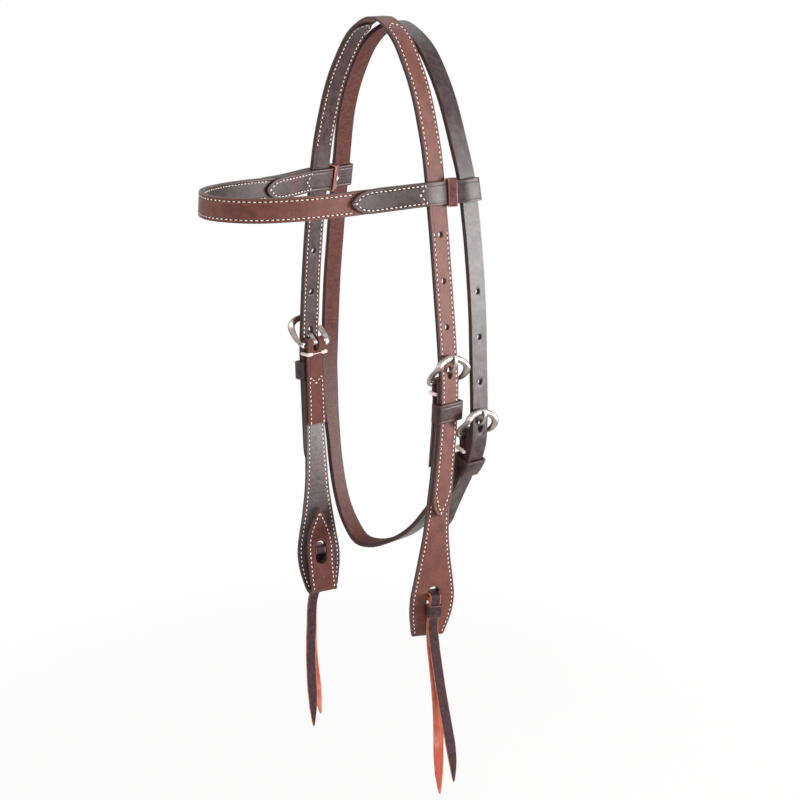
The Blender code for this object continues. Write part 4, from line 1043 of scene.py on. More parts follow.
def rounded_box(low_a, high_a, low_b, high_b, radius):
    """A box outline with round corners."""
    corners = (
        (high_a - radius, high_b - radius, 0.0), (low_a + radius, high_b - radius, 0.5),
        (low_a + radius, low_b + radius, 1.0), (high_a - radius, low_b + radius, 1.5),
    )
    ring = []
    for a, b, quarter in corners:
        for k in range(corner_turns + 1):
            turn = math.pi * (quarter + 0.5 * k / corner_turns)
            ring.append((a + radius * math.cos(turn), b + radius * math.sin(turn)))
    return ring


def band_rings(low, high, half, corner, ply):
    """The outlines of a band round a box: its outside, then its inside."""
    outer = rounded_box(low - ply, high + ply, -half - ply, half + ply, corner + ply)
    return [outer, rounded_box(low, high, -half, half, corner)]


# The crown strap's route, from its far tail over the poll to its near tail

cheek_face = -(piece_gap + lining_ply + piece_gap)
cheek_seam = cheek_face - crown_ply - piece_gap / 2
hole_in_use = first_hole + (hole_count - 1) * hole_pitch
bar_place = hole_in_use + bar_below_hole
bit_fold = bar_place + bit_fold_below_bar
spine_reach = bit_fold + 2 * bit_fold_radius


def crown_points(side):
    return [
        (side * x * head_half_width, -y * spine_set_forward, -z * spine_depth)
        for x, y, z in crown_route_shares
    ]


near_marks = growing_marks(apex_flat_half, spine_reach, long_step)
crown_marks = [-mark for mark in near_marks[::-1]] + near_marks
crown_line = crown_points(-1)[:0:-1] + crown_points(1)
half_length = smooth_line(crown_line)[1][-1] / 2


def crown_across(mark):
    """The strap's width, with both cheeks' lower ends turned the same way."""
    start = bar_place + cheek_turn_start
    share = (abs(mark) - start) / (cheek_turn_end - cheek_turn_start)
    turn = cheek_turn * ease(share)
    return (math.sin(turn), math.cos(turn), 0.0)


crown = route_through(crown_line, crown_marks, -half_length, crown_across)
crown.points[:, 2] -= crown.place(0, 0, 0)[2]
crown.points[:, 1] -= crown.place(0, 0, 0)[1]
flips = {"near": np.array([1.0, 1.0, 1.0]), "far": np.array([-1.0, 1.0, 1.0])}
far_half = [
    stations[crown.along < 0][::-1] * flips["far"]
    for stations in (crown.points, crown.outward, crown.across)
]
spines = {"near": crown, "far": Route(-crown.along[crown.along < 0][::-1], *far_half)}


def crown_holes(low, high):
    """The strap's punched holes between two places, the last one worn long."""
    rings = []
    for side in (-1, 1):
        for number in range(hole_count):
            u = side * (first_hole + number * hole_pitch)
            if low < u < high:
                rings.append(punched_hole(u, number))
    return rings


def make_crown():
    half = crown_width / 2
    tail = (tail_taper, tail_tip_shares)
    outline = band_outline(-tail_reach, tail_reach, half, tail, tail)
    rings = [outline] + crown_holes(-tail_reach, tail_reach)
    strap("crown_outer_ply", rings, crown, 0, crown_ply, "rough_out_leather")
    tip = (lining_taper, round_tip_shares)
    rings = [band_outline(lining_start, tail_reach, half, tip, tail)]
    rings += crown_holes(lining_start, tail_reach)
    layer = (-piece_gap - lining_ply, -piece_gap, "dark_leather")
    for side, mirrored in sides:
        strap(f"crown_lining_{side}", rings, spines[side], *layer, mirrored)


# A buckle end: the strap's leg folded over a bar, in a spine's (s, n) space

def path_route(spine, path):
    """A route through (s, n, ds, dn) stations given on a spine.

    ds and dn are the way along; the outward side is to the left of it.
    """
    along, points, outward, across = [], [], [], []
    previous = None
    for s, n, ds, dn in path:
        down, out, wide = spine.axes(s)
        if previous is None:
            along.append(0.0)
        else:
            along.append(along[-1] + math.hypot(s - previous[0], n - previous[1]))
        previous = (s, n)
        size = math.hypot(ds, dn)
        points.append(spine.place(s, 0, n))
        outward.append((-dn / size) * down + (ds / size) * out)
        across.append(wide)
    return Route(along, points, outward, across)


def half_turn(s, n, radius, over):
    """Stations over a bar from the inside leg, or under a loop from the outside leg."""
    way = -1 if over else 1
    turn = []
    for k in range(arc_steps + 1):
        a = math.pi * (1 - k / arc_steps if over else k / arc_steps)
        down, out = math.sin(a), math.cos(a)
        turn.append((s + way * radius * down, n + radius * out, out, -way * down))
    return turn


def leg_depth(s, bar_s, bend_start, n_low, n_high):
    """How far out the inside leg's middle is, beside a place on the strap."""
    share = (bend_start - s) / (bend_start - bar_s)
    return n_low + (n_high - n_low) * ease(share)


def leg_up(spine, low, high, n_low, n_high, bend_start):
    """An inside leg from its lower end up to the bar, drawn in below bend_start."""
    run = [low] + spine.between(high, low)[::-1]
    run += [bend_start - (bend_start - high) * k / leg_steps for k in range(leg_steps)]
    path = []
    for s in sorted(set(run), reverse=True):
        share = (bend_start - s) / (bend_start - high)
        n = leg_depth(s, high, bend_start, n_low, n_high)
        slope = ease_rate(share) * (n_high - n_low) / (bend_start - high)
        path.append((s, n, -1.0, slope))
    return path


# The cheek's route lies between its two plies

cheek_bar_radius = bar_diameter / 2 + piece_gap / 2
cheek_bar = cheek_seam - cheek_bar_radius
keeper_seam = cheek_seam - keeper_ply - 2 * piece_gap
keeper_place = bar_place + keeper_below_bar
fold_end = bar_place + fold_leg
flap_top = bit_fold - flap_length
flap_seam_top = cheek_seam - 2 * lining_ply - 2 * piece_gap


def cheek_path():
    keeper_top = keeper_place - keeper_height / 2 - piece_gap
    inside = cheek_bar - cheek_bar_radius
    path = leg_up(crown, fold_end, bar_place, keeper_seam, inside, keeper_top)
    path += half_turn(bar_place, cheek_bar, cheek_bar_radius, over=True)
    path += [(s, cheek_seam, 1.0, 0.0) for s in crown.between(bar_place, bit_fold)]
    fold_centre = cheek_seam - bit_fold_radius
    path += half_turn(bit_fold, fold_centre, bit_fold_radius, over=False)
    bottom = fold_centre - bit_fold_radius
    rise = flap_seam_top - bottom
    stops = crown.between(flap_top, bit_fold)[::-1] + [flap_top]
    for s in stops:
        share = (bit_fold - s) / flap_length
        slope = flap_rise_share * share ** (flap_rise_share - 1) * rise / flap_length
        path.append((s, bottom + rise * share**flap_rise_share, -1.0, slope))
    return path


def first_outside(path):
    """The station where a path has come over its bar and starts straight down."""
    return next(k for k, (s, n, down, out) in enumerate(path) if down > 0 and out == 0)


cheek_stations = cheek_path()
outside_start = first_outside(cheek_stations)
cheeks = {side: path_route(spine, cheek_stations) for side, spine in spines.items()}
for route in cheeks.values():
    route.along += cheek_stations[outside_start][0] - route.along[outside_start]
cheek = cheeks["near"]
flap_foot = bit_fold + math.pi * bit_fold_radius


def flap_place(s):
    """How far along the cheek the flap is beside a place on the outside leg."""
    seen = [(u, p[0]) for u, p in zip(cheek.along, cheek_stations) if u >= flap_foot]
    seen.sort(key=lambda pair: pair[1])
    return float(np.interp(s, [p[1] for p in seen], [p[0] for p in seen]))


def edge_points(shares, low, high, base, extra):
    """A smooth edge through shares of a length and of a width."""
    points = [(low + (high - low) * a, base + extra * b, 0.0) for a, b in shares]
    return [(float(p[0]), float(p[1])) for p in smooth_line(points, edge_samples)[0]]


def cheek_edge(start):
    """The cheek's edge from a start above the flare to the flap's tip."""
    half = crown_width / 2
    flare = bar_place + flare_below_bar
    edge = [(start, half)]
    edge += edge_points(paddle_shares, flare, bit_fold, half, paddle_half_width - half)
    top = float(cheek.along[-1])
    edge.append(((bit_fold + flap_foot) / 2, bit_fold_half_width))
    edge += edge_points(flap_shares, flap_foot, top, 0.0, flap_half_width)
    return edge


def bit_slots():
    """The lace's slots, in the outer wall and in the flap."""
    wall = bar_place + bit_slot_below_bar
    half, wide = bit_slot_height / 2, bit_slot_width / 2
    middles = (wall, flap_place(wall))
    return [rounded_box(u - half, u + half, -wide, wide, bit_slot_corner) for u in middles]


def tongue_slot(outside_leg, bar_radius):
    """The slot in a fold over its bar, from the mark where the outside leg starts."""
    low = outside_leg - math.pi * bar_radius - slot_inside
    return slot_between(low, outside_leg + slot_outside)


def make_cheek(side, mirrored):
    seam = piece_gap / 2
    route = cheeks[side]
    rings = [both_edges(cheek_edge(float(cheek.along[0]))), *bit_slots()]
    rings.append(tongue_slot(bar_place, cheek_bar_radius))
    layer = (seam, seam + crown_ply, "rough_out_leather", mirrored)
    strap(f"{side}_cheek_outer_ply", rings, route, *layer)
    rings = [both_edges(cheek_edge(bar_place + lining_below_bar)), *bit_slots()]
    layer = (-seam - lining_ply, -seam, "dark_leather", mirrored)
    strap(f"{side}_cheek_lining", rings, route, *layer)


# Keepers and tacks

tack_step = 0.0006
tack_swell = 1.55
# Where the thread leaves its thick ends, over what stretch, and how thin it gets
tack_thick_share = 0.36
tack_fade_share = 0.22
tack_thin_share = 0.22
tack_end_share = 0.6
# Lumps of its lay: radians per metre, where they start, and their size
tack_lumps = 2900.0
tack_lump_start = 0.8
tack_lump_share = 0.11


def keeper(name, spine, middle, height, low, high, half_width, mirrored=False):
    """A keeper round all that lies from low to high and within its half width."""
    rings = band_rings(low, high, half_width, keeper_ply / 2, keeper_ply)

    def place(n, w, t):
        return spine.place(middle + t, w, n)

    ring_solid(name, rings, place, height, "dark_leather", mirrored)


def edge_tack(name, spine, place, half_width, inside, outside, mirrored=False):
    """A thick thread on the inside of a folded leg, turned over both edges."""
    reach = half_width + piece_gap + tack_thread / 2
    depth = inside - piece_gap - tack_thread / 2
    soft = tack_thread / 2
    corners = [
        (-reach, outside), (-reach, depth + soft), (-reach + soft, depth),
        (reach - soft, depth), (reach, depth + soft), (reach, outside),
    ]
    line, thick = [], []
    for start, end in zip(corners, corners[1:]):
        start, end = np.array(start), np.array(end)
        count = max(2, int(np.linalg.norm(end - start) / tack_step))
        for k in range(count):
            w, n = start + (end - start) * k / count
            full = ease((abs(w) / reach - tack_thick_share) / tack_fade_share)
            full = tack_thin_share + (1 - tack_thin_share) * full
            lumps = tack_lump_share * math.sin(w * tack_lumps + tack_lump_start)
            line.append(spine.place(place, w, n))
            thick.append(tack_thread * tack_swell * (full + lumps))
    line.append(spine.place(place, *corners[-1]))
    thick.append(thick[-1] * tack_end_share)
    thick[0] *= tack_end_share
    lofted(name, [(rod(line, thick), False)], "thread", mirrored)


def make_cheek_trim(side, mirrored):
    half = crown_width / 2
    spine = spines[side]
    size = (keeper_place, keeper_height, cheek_seam, crown_ply + piece_gap)
    keeper(f"{side}_cheek_keeper", spine, *size, half + keeper_side_gap, mirrored)
    bend = keeper_place - keeper_height / 2 - piece_gap
    place = bar_place + tack_below_bar
    leg = (bar_place, bend, keeper_seam, cheek_bar - cheek_bar_radius)
    inside = leg_depth(place - tack_thread, *leg) - piece_gap / 2 - crown_ply
    outside = cheek_face - piece_gap
    edge_tack(f"{side}_bar_tack", spine, place, half, inside, outside, mirrored)


# Buckles: a half-round bow on its bar, and a tongue curled on the bar

bow_steps = 44
bow_section_steps = 9
bow_flank_share = 0.30
# The back of the bow's section: across it, and of its thickness
bow_back_shares = ((0.94, 0.03), (0.5, 0.0), (0.06, 0.03))
# Up each limb of the bow, from the bar to the shoulder
limb_shares = tuple(k / 10 for k in range(10))
bar_sides = 24
bar_shares = (-1, -0.5, 0, 0.5, 1)
blade_steps = 5
blade_sides = 16
blade_squareness = 0.5
# How narrow the blade's tip is, and how fast it widens from there
blade_tip_share = 0.35
blade_tip_rate = 6
# Any way that no rod runs along
rod_start_way = (0.31, 0.52, 0.79)


def bow_half(foot, reach, top):
    """One edge of the bow from its foot over the top to the other foot, as (v, w)."""
    half = [
        (frame_shoulder * share, foot + (reach - foot) * math.sin(share * math.pi / 2))
        for share in limb_shares
    ]
    arc = [
        (frame_shoulder + (top - frame_shoulder) * math.sin(a), reach * math.cos(a))
        for a in (math.pi * k / bow_steps for k in range(bow_steps + 1))
    ]
    return half + arc + [(v, -w) for v, w in half[::-1]]


def bow_pairs():
    """The bow's outer and inner edge, as (v, w) above the bar, from foot to foot."""
    foot, outer, inner = frame_foot_width / 2, frame_outer_width / 2, frame_inner_width / 2
    low = [(-frame_foot, foot - frame_foot), (-frame_foot / 2, foot - frame_foot / 4)]
    outside = low + bow_half(foot, outer, frame_height) + [(v, -w) for v, w in low[::-1]]
    low = [(-frame_foot, inner), (-frame_foot / 2, inner)]
    inside = low + bow_half(inner, inner, frame_height - band_width)
    return list(zip(outside, inside + [(v, -w) for v, w in low[::-1]]))


def bow_rise(v, w, rise, proud):
    """How far outward the frame has risen at v above its bar, and how thick it is there.

    The side that proud names rises at once, and its steep foot is thicker.
    """
    share = min(max(v / frame_rise_height, 0.0), 1.0)
    if w * proud <= 0:
        return rise * ease(share), 1.0
    up = (1 - (1 - share) ** proud_power) ** (1 / proud_power)
    return rise * up, 1 + proud_swell * (1 - share)


def bow_lean(v, w):
    """The bow sits askew on its bar: its rear side is the lower one."""
    share = 1.0 if w > 0 else ease((v + frame_foot) / (frame_shoulder + frame_foot))
    return v - w * math.tan(frame_lean) * share


def bow_section():
    """Half-round: (share across, share of the thickness), flat at the back."""
    front = []
    for k in range(bow_section_steps + 1):
        a = math.pi * k / bow_section_steps
        across = (1 - math.cos(a)) / 2
        front.append((across, bow_flank_share + (1 - bow_flank_share) * math.sin(a)))
    return [*front, *bow_back_shares]


def rod(points, diameter):
    """Rings round a line of points, for a loft; one diameter, or one a point."""
    points = np.array(points, float)
    radii = np.broadcast_to(np.array(diameter, float) / 2, len(points))
    ways = np.gradient(points, axis=0)
    side = unit(np.cross(unit(ways[0]), rod_start_way))
    rings = []
    for point, way, radius in zip(points, ways, radii):
        way = unit(way)
        side = unit(side - way * np.dot(side, way))
        other = np.cross(way, side)
        turns = [2 * math.pi * k / bar_sides for k in range(bar_sides)]
        rings.append([
            point + radius * (math.cos(a) * side + math.sin(a) * other) for a in turns
        ])
    return rings


def make_frame(name, spine, bar_s, bar_n, rise, mirrored=False):
    sections = []
    for (v_out, w_out), (v_in, w_in) in bow_pairs():
        ring = []
        for across, up in bow_section():
            v = v_in + (v_out - v_in) * across
            w = w_in + (w_out - w_in) * across
            high, thicker = bow_rise(v, w, rise, -1 if mirrored else 1)
            out = bar_n + high + (up - 0.5) * band_thickness * thicker
            ring.append(spine.place(bar_s - bow_lean(v, w), w, out))
        sections.append(ring)
    foot = (frame_foot_width - band_thickness) / 2
    bar = [spine.place(bar_s, foot * share, bar_n) for share in bar_shares]
    lofted(name, [(sections, False), (rod(bar, bar_diameter), False)], "nickel", mirrored)


def tongue_middle(rise):
    """The blade's middle line as (v, n), and the ring's outer radius."""
    ring = bar_diameter / 2 + piece_gap + tongue_ring
    start = ring - tongue_ring / 2
    rest = rise + band_thickness / 2 + piece_gap + tongue_thickness / 2
    middle = [
        (start + along * (tongue_reach - start), out * rest, 0.0)
        for along, out in tongue_shares
    ]
    return smooth_line(middle, blade_steps), ring


def rounded_section(half_wide, half_thick):
    """A soft-cornered section as (across, through)."""
    ring = []
    for k in range(blade_sides):
        a = 2 * math.pi * (k + 0.5) / blade_sides
        across = math.copysign(abs(math.cos(a)) ** blade_squareness, math.cos(a))
        through = math.copysign(abs(math.sin(a)) ** blade_squareness, math.sin(a))
        ring.append((half_wide * across, half_thick * through))
    return ring


def make_tongue(name, spine, bar_s, bar_n, rise, mirrored=False):
    """A tapered blade with soft corners, and the ring that it is curled into."""
    (line, lengths), ring = tongue_middle(rise)
    ways = np.gradient(line, lengths, axis=0)
    blade = []
    for point, way in zip(line, ways):
        way = unit(way)
        share = float(point[0]) / tongue_reach
        wide = tongue_width + (tongue_tip_width - tongue_width) * ease(share)
        last = min(1.0, blade_tip_share + blade_tip_rate * (1 - share))
        section = rounded_section(wide / 2 * last, tongue_thickness / 2 * last)
        blade.append([
            spine.place(bar_s - point[0] + way[1] * t, w, bar_n + point[1] + way[0] * t)
            for w, t in section
        ])
    eye = []
    middle = ring - tongue_ring / 2
    for k in range(bar_sides):
        a = 2 * math.pi * k / bar_sides
        eye.append([
            spine.place(
                bar_s - (middle + t) * math.cos(a), w, bar_n + (middle + t) * math.sin(a)
            )
            for w, t in rounded_section(tongue_width / 2, tongue_ring / 2)
        ])
    lofted(name, [(blade, False), (eye, True)], "nickel", mirrored)


cheek_rise = crown_ply + bow_stand_off + band_thickness / 2 - cheek_bar


def make_cheek_buckle(side, mirrored):
    place = (spines[side], bar_place, cheek_bar, cheek_rise, mirrored)
    make_frame(f"{side}_buckle_frame", *place)
    make_tongue(f"{side}_buckle_tongue", *place)


# The throat latch, its spine in the middle of the strap

throat_back = crown_width / 2 + strap_side_gap + throat_width / 2
throat_hole_in_use = throat_first_hole + (hole_count - 1) * hole_pitch
throat_bar_place = throat_hole_in_use + bar_below_hole
throat_side_drop = throat_side_share * throat_bar_place
side_end_share = throat_side_shares[-1][2]


def throat_point(x, y, z):
    """A point of the loop: its side's drop follows the buckle, the rest hangs below."""
    side = min(z / side_end_share, 1.0)
    under = max((z - side_end_share) / (1 - side_end_share), 0.0)
    return (
        x * throat_half_width,
        throat_back + y * throat_set_back,
        -throat_drop - side * throat_side_drop - under * throat_under_drop,
    )


# The loop's points, from its buckle under the jaw and over the poll again
near_side = [throat_point(*p) for p in throat_side_shares]
far_side = [throat_point(-x, y, z) for x, y, z in throat_side_shares]
under = [throat_point(*p) for p in throat_near_shares + throat_far_shares]
over_line = far_side[:0:-1] + near_side + under
loop_line, loop_lengths = smooth_line(over_line)
apex_index = int(np.argmin(np.abs(loop_line[:, 0]) + np.abs(loop_line[:, 2]) * 4))
loop_start = -loop_lengths[apex_index]
loop_end = loop_lengths[-1] + loop_start


def throat_marks():
    """Marks down both sides of the poll and on under the jaw."""
    near = growing_marks(0.0, loop_end, throat_long_step)
    far = [-mark for mark in near[1:] if mark < -loop_start] + [loop_start]
    return sorted(set(far + near))


def throat_across(mark):
    """The strap's width, turned aside where it comes up the far side."""
    share = (mark - throat_bar_place) / (loop_end - throat_bar_place)
    along, turns = zip(*throat_turn_shares)
    turn = throat_turn * float(np.interp(share, along, turns))
    return (-math.sin(turn), math.cos(turn), 0.0)


throat = route_through(over_line, throat_marks(), loop_start, throat_across)

throat_leg = -(throat_ply + piece_gap)
throat_bar_radius = bar_diameter / 2 + piece_gap + throat_ply / 2
throat_bar = throat_leg - throat_bar_radius
throat_inside = throat_bar - throat_bar_radius
throat_keeper_place = throat_bar_place + throat_keeper_below_bar
throat_leg_low = throat_leg - throat_ply - piece_gap


def throat_path():
    """From the folded end, over the bar, under the jaw and over the poll."""
    bend = throat_keeper_place - throat_keeper_height / 2 - piece_gap
    end = throat_bar_place + throat_fold_leg
    path = leg_up(throat, end, throat_bar_place, throat_leg_low, throat_inside, bend)
    path += half_turn(throat_bar_place, throat_bar, throat_bar_radius, over=True)
    leave = throat_keeper_place + throat_keeper_height / 2
    for s in sorted(throat.between(throat_bar_place, loop_end) + [leave, loop_end]):
        share = (s - leave) / throat_offset_run
        n = throat_leg * (1 - ease(share))
        slope = -throat_leg * ease_rate(share) / throat_offset_run
        path.append((s, n, 1.0, slope))
    power = throat_tail_power_share
    run = throat_tail_reach - leave
    tail = throat.between(loop_start, throat_tail_reach) + [leave, throat_tail_reach]
    for s in sorted(tail):
        share = max((s - leave) / run, 0.0)
        slope = power * share ** (power - 1) * throat_tail_lift / run
        path.append((s, throat_tail_lift * share**power, 1.0, slope))
    return path


def make_throat_strap():
    path = throat_path()
    route = path_route(throat, path)
    turn = next(k for k, p in enumerate(path) if k and p[0] < path[k - 1][0] - throat_side_drop)
    gap = np.linalg.norm(route.points[turn] - route.points[turn - 1])
    route.along[turn:] += gap - (route.along[turn] - route.along[turn - 1])
    end = float(route.along[-1])
    leave = throat_keeper_place + throat_keeper_height / 2
    beyond = [k for k in range(turn, len(path)) if path[k][0] > leave]
    straight = (beyond[0] if beyond else len(path)) - 1
    back = float(route.along[straight]) - path[straight][0]
    half = throat_width / 2
    rings = [band_outline(0.0, end, half, None, (throat_tail_taper, round_tip_shares))]
    for number in range(hole_count):
        rings.append(punched_hole(back + throat_first_hole + number * hole_pitch, number))
    outside_leg = float(route.along[first_outside(path)])
    rings.append(tongue_slot(outside_leg, throat_bar_radius))
    strap("throat_strap", rings, route, -throat_ply / 2, throat_ply / 2, "throat_leather")


def make_throat_trim():
    rise = throat_ply / 2 + throat_bow_stand_off + band_thickness / 2 - throat_bar
    place = (throat, throat_bar_place, throat_bar, rise)
    make_frame("throat_buckle_frame", *place)
    make_tongue("throat_buckle_tongue", *place)
    half = throat_width / 2 + keeper_side_gap / 2
    low = throat_leg_low - throat_ply / 2 - throat_keeper_slack
    high = throat_ply / 2 + throat_keeper_slack
    size = (throat_keeper_place, throat_keeper_height, low, high, half)
    keeper("throat_keeper", throat, *size)
    bend = throat_keeper_place - throat_keeper_height / 2 - piece_gap
    place = throat_bar_place + throat_tack_below_bar
    leg = (throat_bar_place, bend, throat_leg_low, throat_inside)
    inside = leg_depth(place - tack_thread, *leg) - throat_ply / 2
    outside = throat_leg + throat_ply / 2 - piece_gap
    edge_tack("throat_fold_tack", throat, place, throat_width / 2, inside, outside)


# The browband and its loops

drop_halvings = 60
loop_corner_turns = 3


def loop_heights(ply):
    """How far a ply of the loop stands over and under the crown and over the throat."""
    over_crown = crown_ply + loop_slack + ply
    under_crown = -(piece_gap + lining_ply) - loop_slack - ply
    return over_crown, under_crown, throat_ply / 2 + loop_slack + ply


def place_at_drop(route, drop, low, high):
    """Where a route that runs down reaches a drop below the origin."""
    for _ in range(drop_halvings):
        middle = (low + high) / 2
        if route.place(middle, 0, 0)[2] > -drop:
            low = middle
        else:
            high = middle
    return (low + high) / 2


class LoopSeat:
    """Where a browband loop sits on the crown strap and the throat latch."""

    def __init__(self, drop):
        self.crown_at = place_at_drop(crown, drop, 0.0, first_hole)
        self.throat_at = place_at_drop(throat, drop, 0.0, throat_first_hole)
        down, self.out = crown.axes(self.crown_at)[:2]
        throat_down, self.throat_out, self.throat_wide = throat.axes(self.throat_at)
        self.up = -down
        self.throat_up = -throat_down

    def at_crown(self, w, n):
        return crown.place(self.crown_at, w, n)

    def at_throat(self, w, n):
        return throat.place(self.throat_at, w, n)


loop_seats = {
    "near": LoopSeat(browband_drop),
    "far": LoopSeat(browband_drop + far_side_drop),
}
crown_middle = (crown_ply - piece_gap - lining_ply) / 2


def browband_side(side):
    """The browband's points from beside its front to its end on one side."""
    seat = loop_seats[side]
    drop = far_side_drop if side == "far" else 0.0
    last = browband_route_shares[-1][1]
    points = []
    for x, y in browband_route_shares[1:]:
        fall = browband_drop + browband_front_dip * y + drop * (1 - y) / (1 - last)
        points.append((x * browband_half_width, -y * browband_reach, -fall))
    points.append(tuple(seat.at_crown(-crown_width / 2 - loop_edge_gap, crown_middle)))
    return [tuple(point * flips[side]) for point in np.array(points)]


browband_front = (0.0, -browband_reach, -browband_drop - browband_front_dip)
browband_points = browband_side("far")[::-1] + [browband_front] + browband_side("near")
browband_length = smooth_line(browband_points)[1][-1]
browband_half = browband_length / 2


def browband_across(mark):
    share = min(abs(mark) / browband_half, 1.0) ** 2
    side = "near" if mark > 0 else "far"
    front = np.array([0.0, math.sin(browband_lean), math.cos(browband_lean)])
    back = loop_seats[side].up * flips[side]
    return unit((1 - share) * front + share * back)


def even_marks(reach, step):
    count = max(2, math.ceil(reach / step))
    return [reach * k / count for k in range(-count, count + 1)]


browband = route_through(
    browband_points, even_marks(browband_half, browband_step), -browband_half,
    browband_across,
)


def make_browband():
    half = browband_width / 2
    rings = [band_outline(-browband_half, browband_half, half)]
    seam = piece_gap / 2
    layers = (
        ("browband_outer_ply", seam, seam + browband_ply, "rough_out_leather"),
        ("browband_lining", -seam - browband_lining_ply, -seam, "dark_leather"),
    )
    for name, low, high, finish in layers:
        strap(name, rings, browband, low, high, finish)


def loop_stations(side):
    """The loop strap's stations from its outside tab to its inside tab.

    Each is a point, its outward side and its width's way, as on the near side.
    """
    seat = loop_seats[side]
    flip = flips[side]
    half_ply = loop_ply / 2
    outer = piece_gap / 2 + browband_ply + piece_gap + half_ply
    inner = -(piece_gap / 2 + browband_lining_ply + piece_gap + half_ply)
    starts = (browband_half - tab_length, browband_half - inner_tab_length)
    tab, inner_tab = ([u] + browband.between(u, browband_half) for u in starts)

    def on_browband(u, n):
        mark = u * flip[0]
        outward, across = browband.axes(mark)[1:]
        return browband.place(mark, 0, n) * flip, outward * flip, across * flip

    stations = [on_browband(u, outer) for u in tab]
    over_crown, under_crown, over_throat = loop_heights(half_ply)
    back = throat_width / 2 + loop_edge_gap + half_ply
    edge = crown_width / 2
    front = throat_width / 2
    for w in (-edge, 0.0, edge):
        stations.append((seat.at_crown(w, over_crown), seat.out, seat.up))
    for w in (-front, 0.0):
        place = seat.at_throat(w, over_throat)
        stations.append((place, seat.throat_out, seat.throat_up))
    for n, start in ((1, 0.5), (-1, 0.0)):
        centre = (back - corner_radius, n * (over_throat - corner_radius))
        for k in range(loop_corner_turns + 1):
            a = math.pi * (start - k / (2 * loop_corner_turns))
            w = centre[0] + corner_radius * math.cos(a)
            reach = centre[1] + corner_radius * math.sin(a)
            outward = math.cos(a) * seat.throat_wide + math.sin(a) * seat.throat_out
            stations.append((seat.at_throat(w, reach), outward, seat.throat_up))
    for w in (0.0, -front):
        place = seat.at_throat(w, -over_throat)
        stations.append((place, -seat.throat_out, seat.throat_up))
    for w in (edge, 0.0, -edge):
        stations.append((seat.at_crown(w, under_crown), -seat.out, seat.up))
    for u in inner_tab[::-1]:
        point, outward, across = on_browband(u, inner)
        stations.append((point, -outward, across))
    return stations


loop_routes = {}


def make_loop(side, mirrored):
    stations = loop_stations(side)
    points = np.array([s[0] for s in stations])
    steps = np.linalg.norm(np.diff(points, axis=0), axis=1)
    along = np.concatenate(([0.0], np.cumsum(steps)))
    route = Route(along, points, [s[1] for s in stations], [s[2] for s in stations])
    tip = (tab_taper, tail_tip_shares)
    rings = [band_outline(0.0, float(along[-1]), browband_width / 2, tip, tip)]
    loop_routes[side] = route
    layer = (-loop_ply / 2, loop_ply / 2, "glossy_dark_leather", mirrored)
    strap(f"{side}_loop_strap", rings, route, *layer)


def divider_frame(seat):
    """The middle of the gap between the two straps, and its three ways."""
    front = seat.at_crown(crown_width / 2, 0)
    back = seat.at_throat(-throat_width / 2, 0)
    along = unit(back - front)
    up = unit(seat.up - along * np.dot(seat.up, along))
    outward = np.cross(along, up)
    if np.dot(outward, seat.out) < 0:
        outward = -outward
    return (front + back) / 2, along, up, outward


def divider_span(seat, middle, along):
    """The room between the straps' edges, over all the height the band slides."""
    tall = browband_width / 2 + 2 * piece_gap + divider_ply + loop_travel
    low, high = [], []
    for rise in (-tall, 0.0, tall):
        for n in (-piece_gap - lining_ply, crown_ply):
            edge = crown.place(seat.crown_at + rise, crown_width / 2, n)
            low.append(float(np.dot(edge - middle, along)))
        for n in (-throat_ply / 2, throat_ply / 2):
            edge = throat.place(seat.throat_at + rise, -throat_width / 2, n)
            high.append(float(np.dot(edge - middle, along)))
    return max(low) + piece_gap, min(high) - piece_gap


def loop_sides(seat, middle, outward):
    """How far out and in the loop's runs stand at the divider."""
    reach = crown_width / 2
    over_crown, under_crown, over_throat = loop_heights(loop_ply)
    front = throat_width / 2
    outs = (seat.at_crown(reach, over_crown), seat.at_throat(-front, over_throat))
    ins = (seat.at_crown(reach, under_crown), seat.at_throat(-front, -over_throat))
    high = max(float(np.dot(p - middle, outward)) for p in outs)
    low = min(float(np.dot(p - middle, outward)) for p in ins)
    return low, high


def make_divider(side, mirrored):
    seat = loop_seats[side]
    middle, along, up, outward = divider_frame(seat)
    low, high = loop_sides(seat, middle, outward)
    low -= 2 * piece_gap
    high += 2 * piece_gap
    tall = browband_width / 2 + 2 * piece_gap
    corner = divider_ply / 3
    rings = band_rings(low, high, tall, corner, divider_ply)
    front, back = divider_span(seat, middle, along)
    width = back - front
    between = middle + (front + back) / 2 * along

    def place(n, w, t):
        return between + n * outward + w * up + t * along

    ring_solid(f"{side}_divider_band", rings, place, width, "burgundy_leather", mirrored)
    half = tack_diamond / 2
    diamond = [(half, 0.0), (0.0, half), (-half, 0.0), (0.0, -half)]
    depth = low - divider_ply - piece_gap - tack_proud / 2

    def place_tack(a, w, t):
        return between + (depth + t) * outward + w * up + a * along

    name = f"{side}_divider_tack"
    mesh, bm = flat_solid(name, [diamond], tack_proud)
    placed_solid(name, mesh, bm, place_tack, edgeless, "thread", mirrored)


# Tie laces

slot_place = bar_place + bit_slot_below_bar
wrap_place = slot_place + wrap_below_slot
wrap_inside = cheek_face + piece_gap
back_strand = wrap_inside + wrap_ply + piece_gap + thong_ply / 2
front_strand = back_strand + thong_ply + piece_gap
wrap_outside = front_strand + thong_ply / 2 + piece_gap


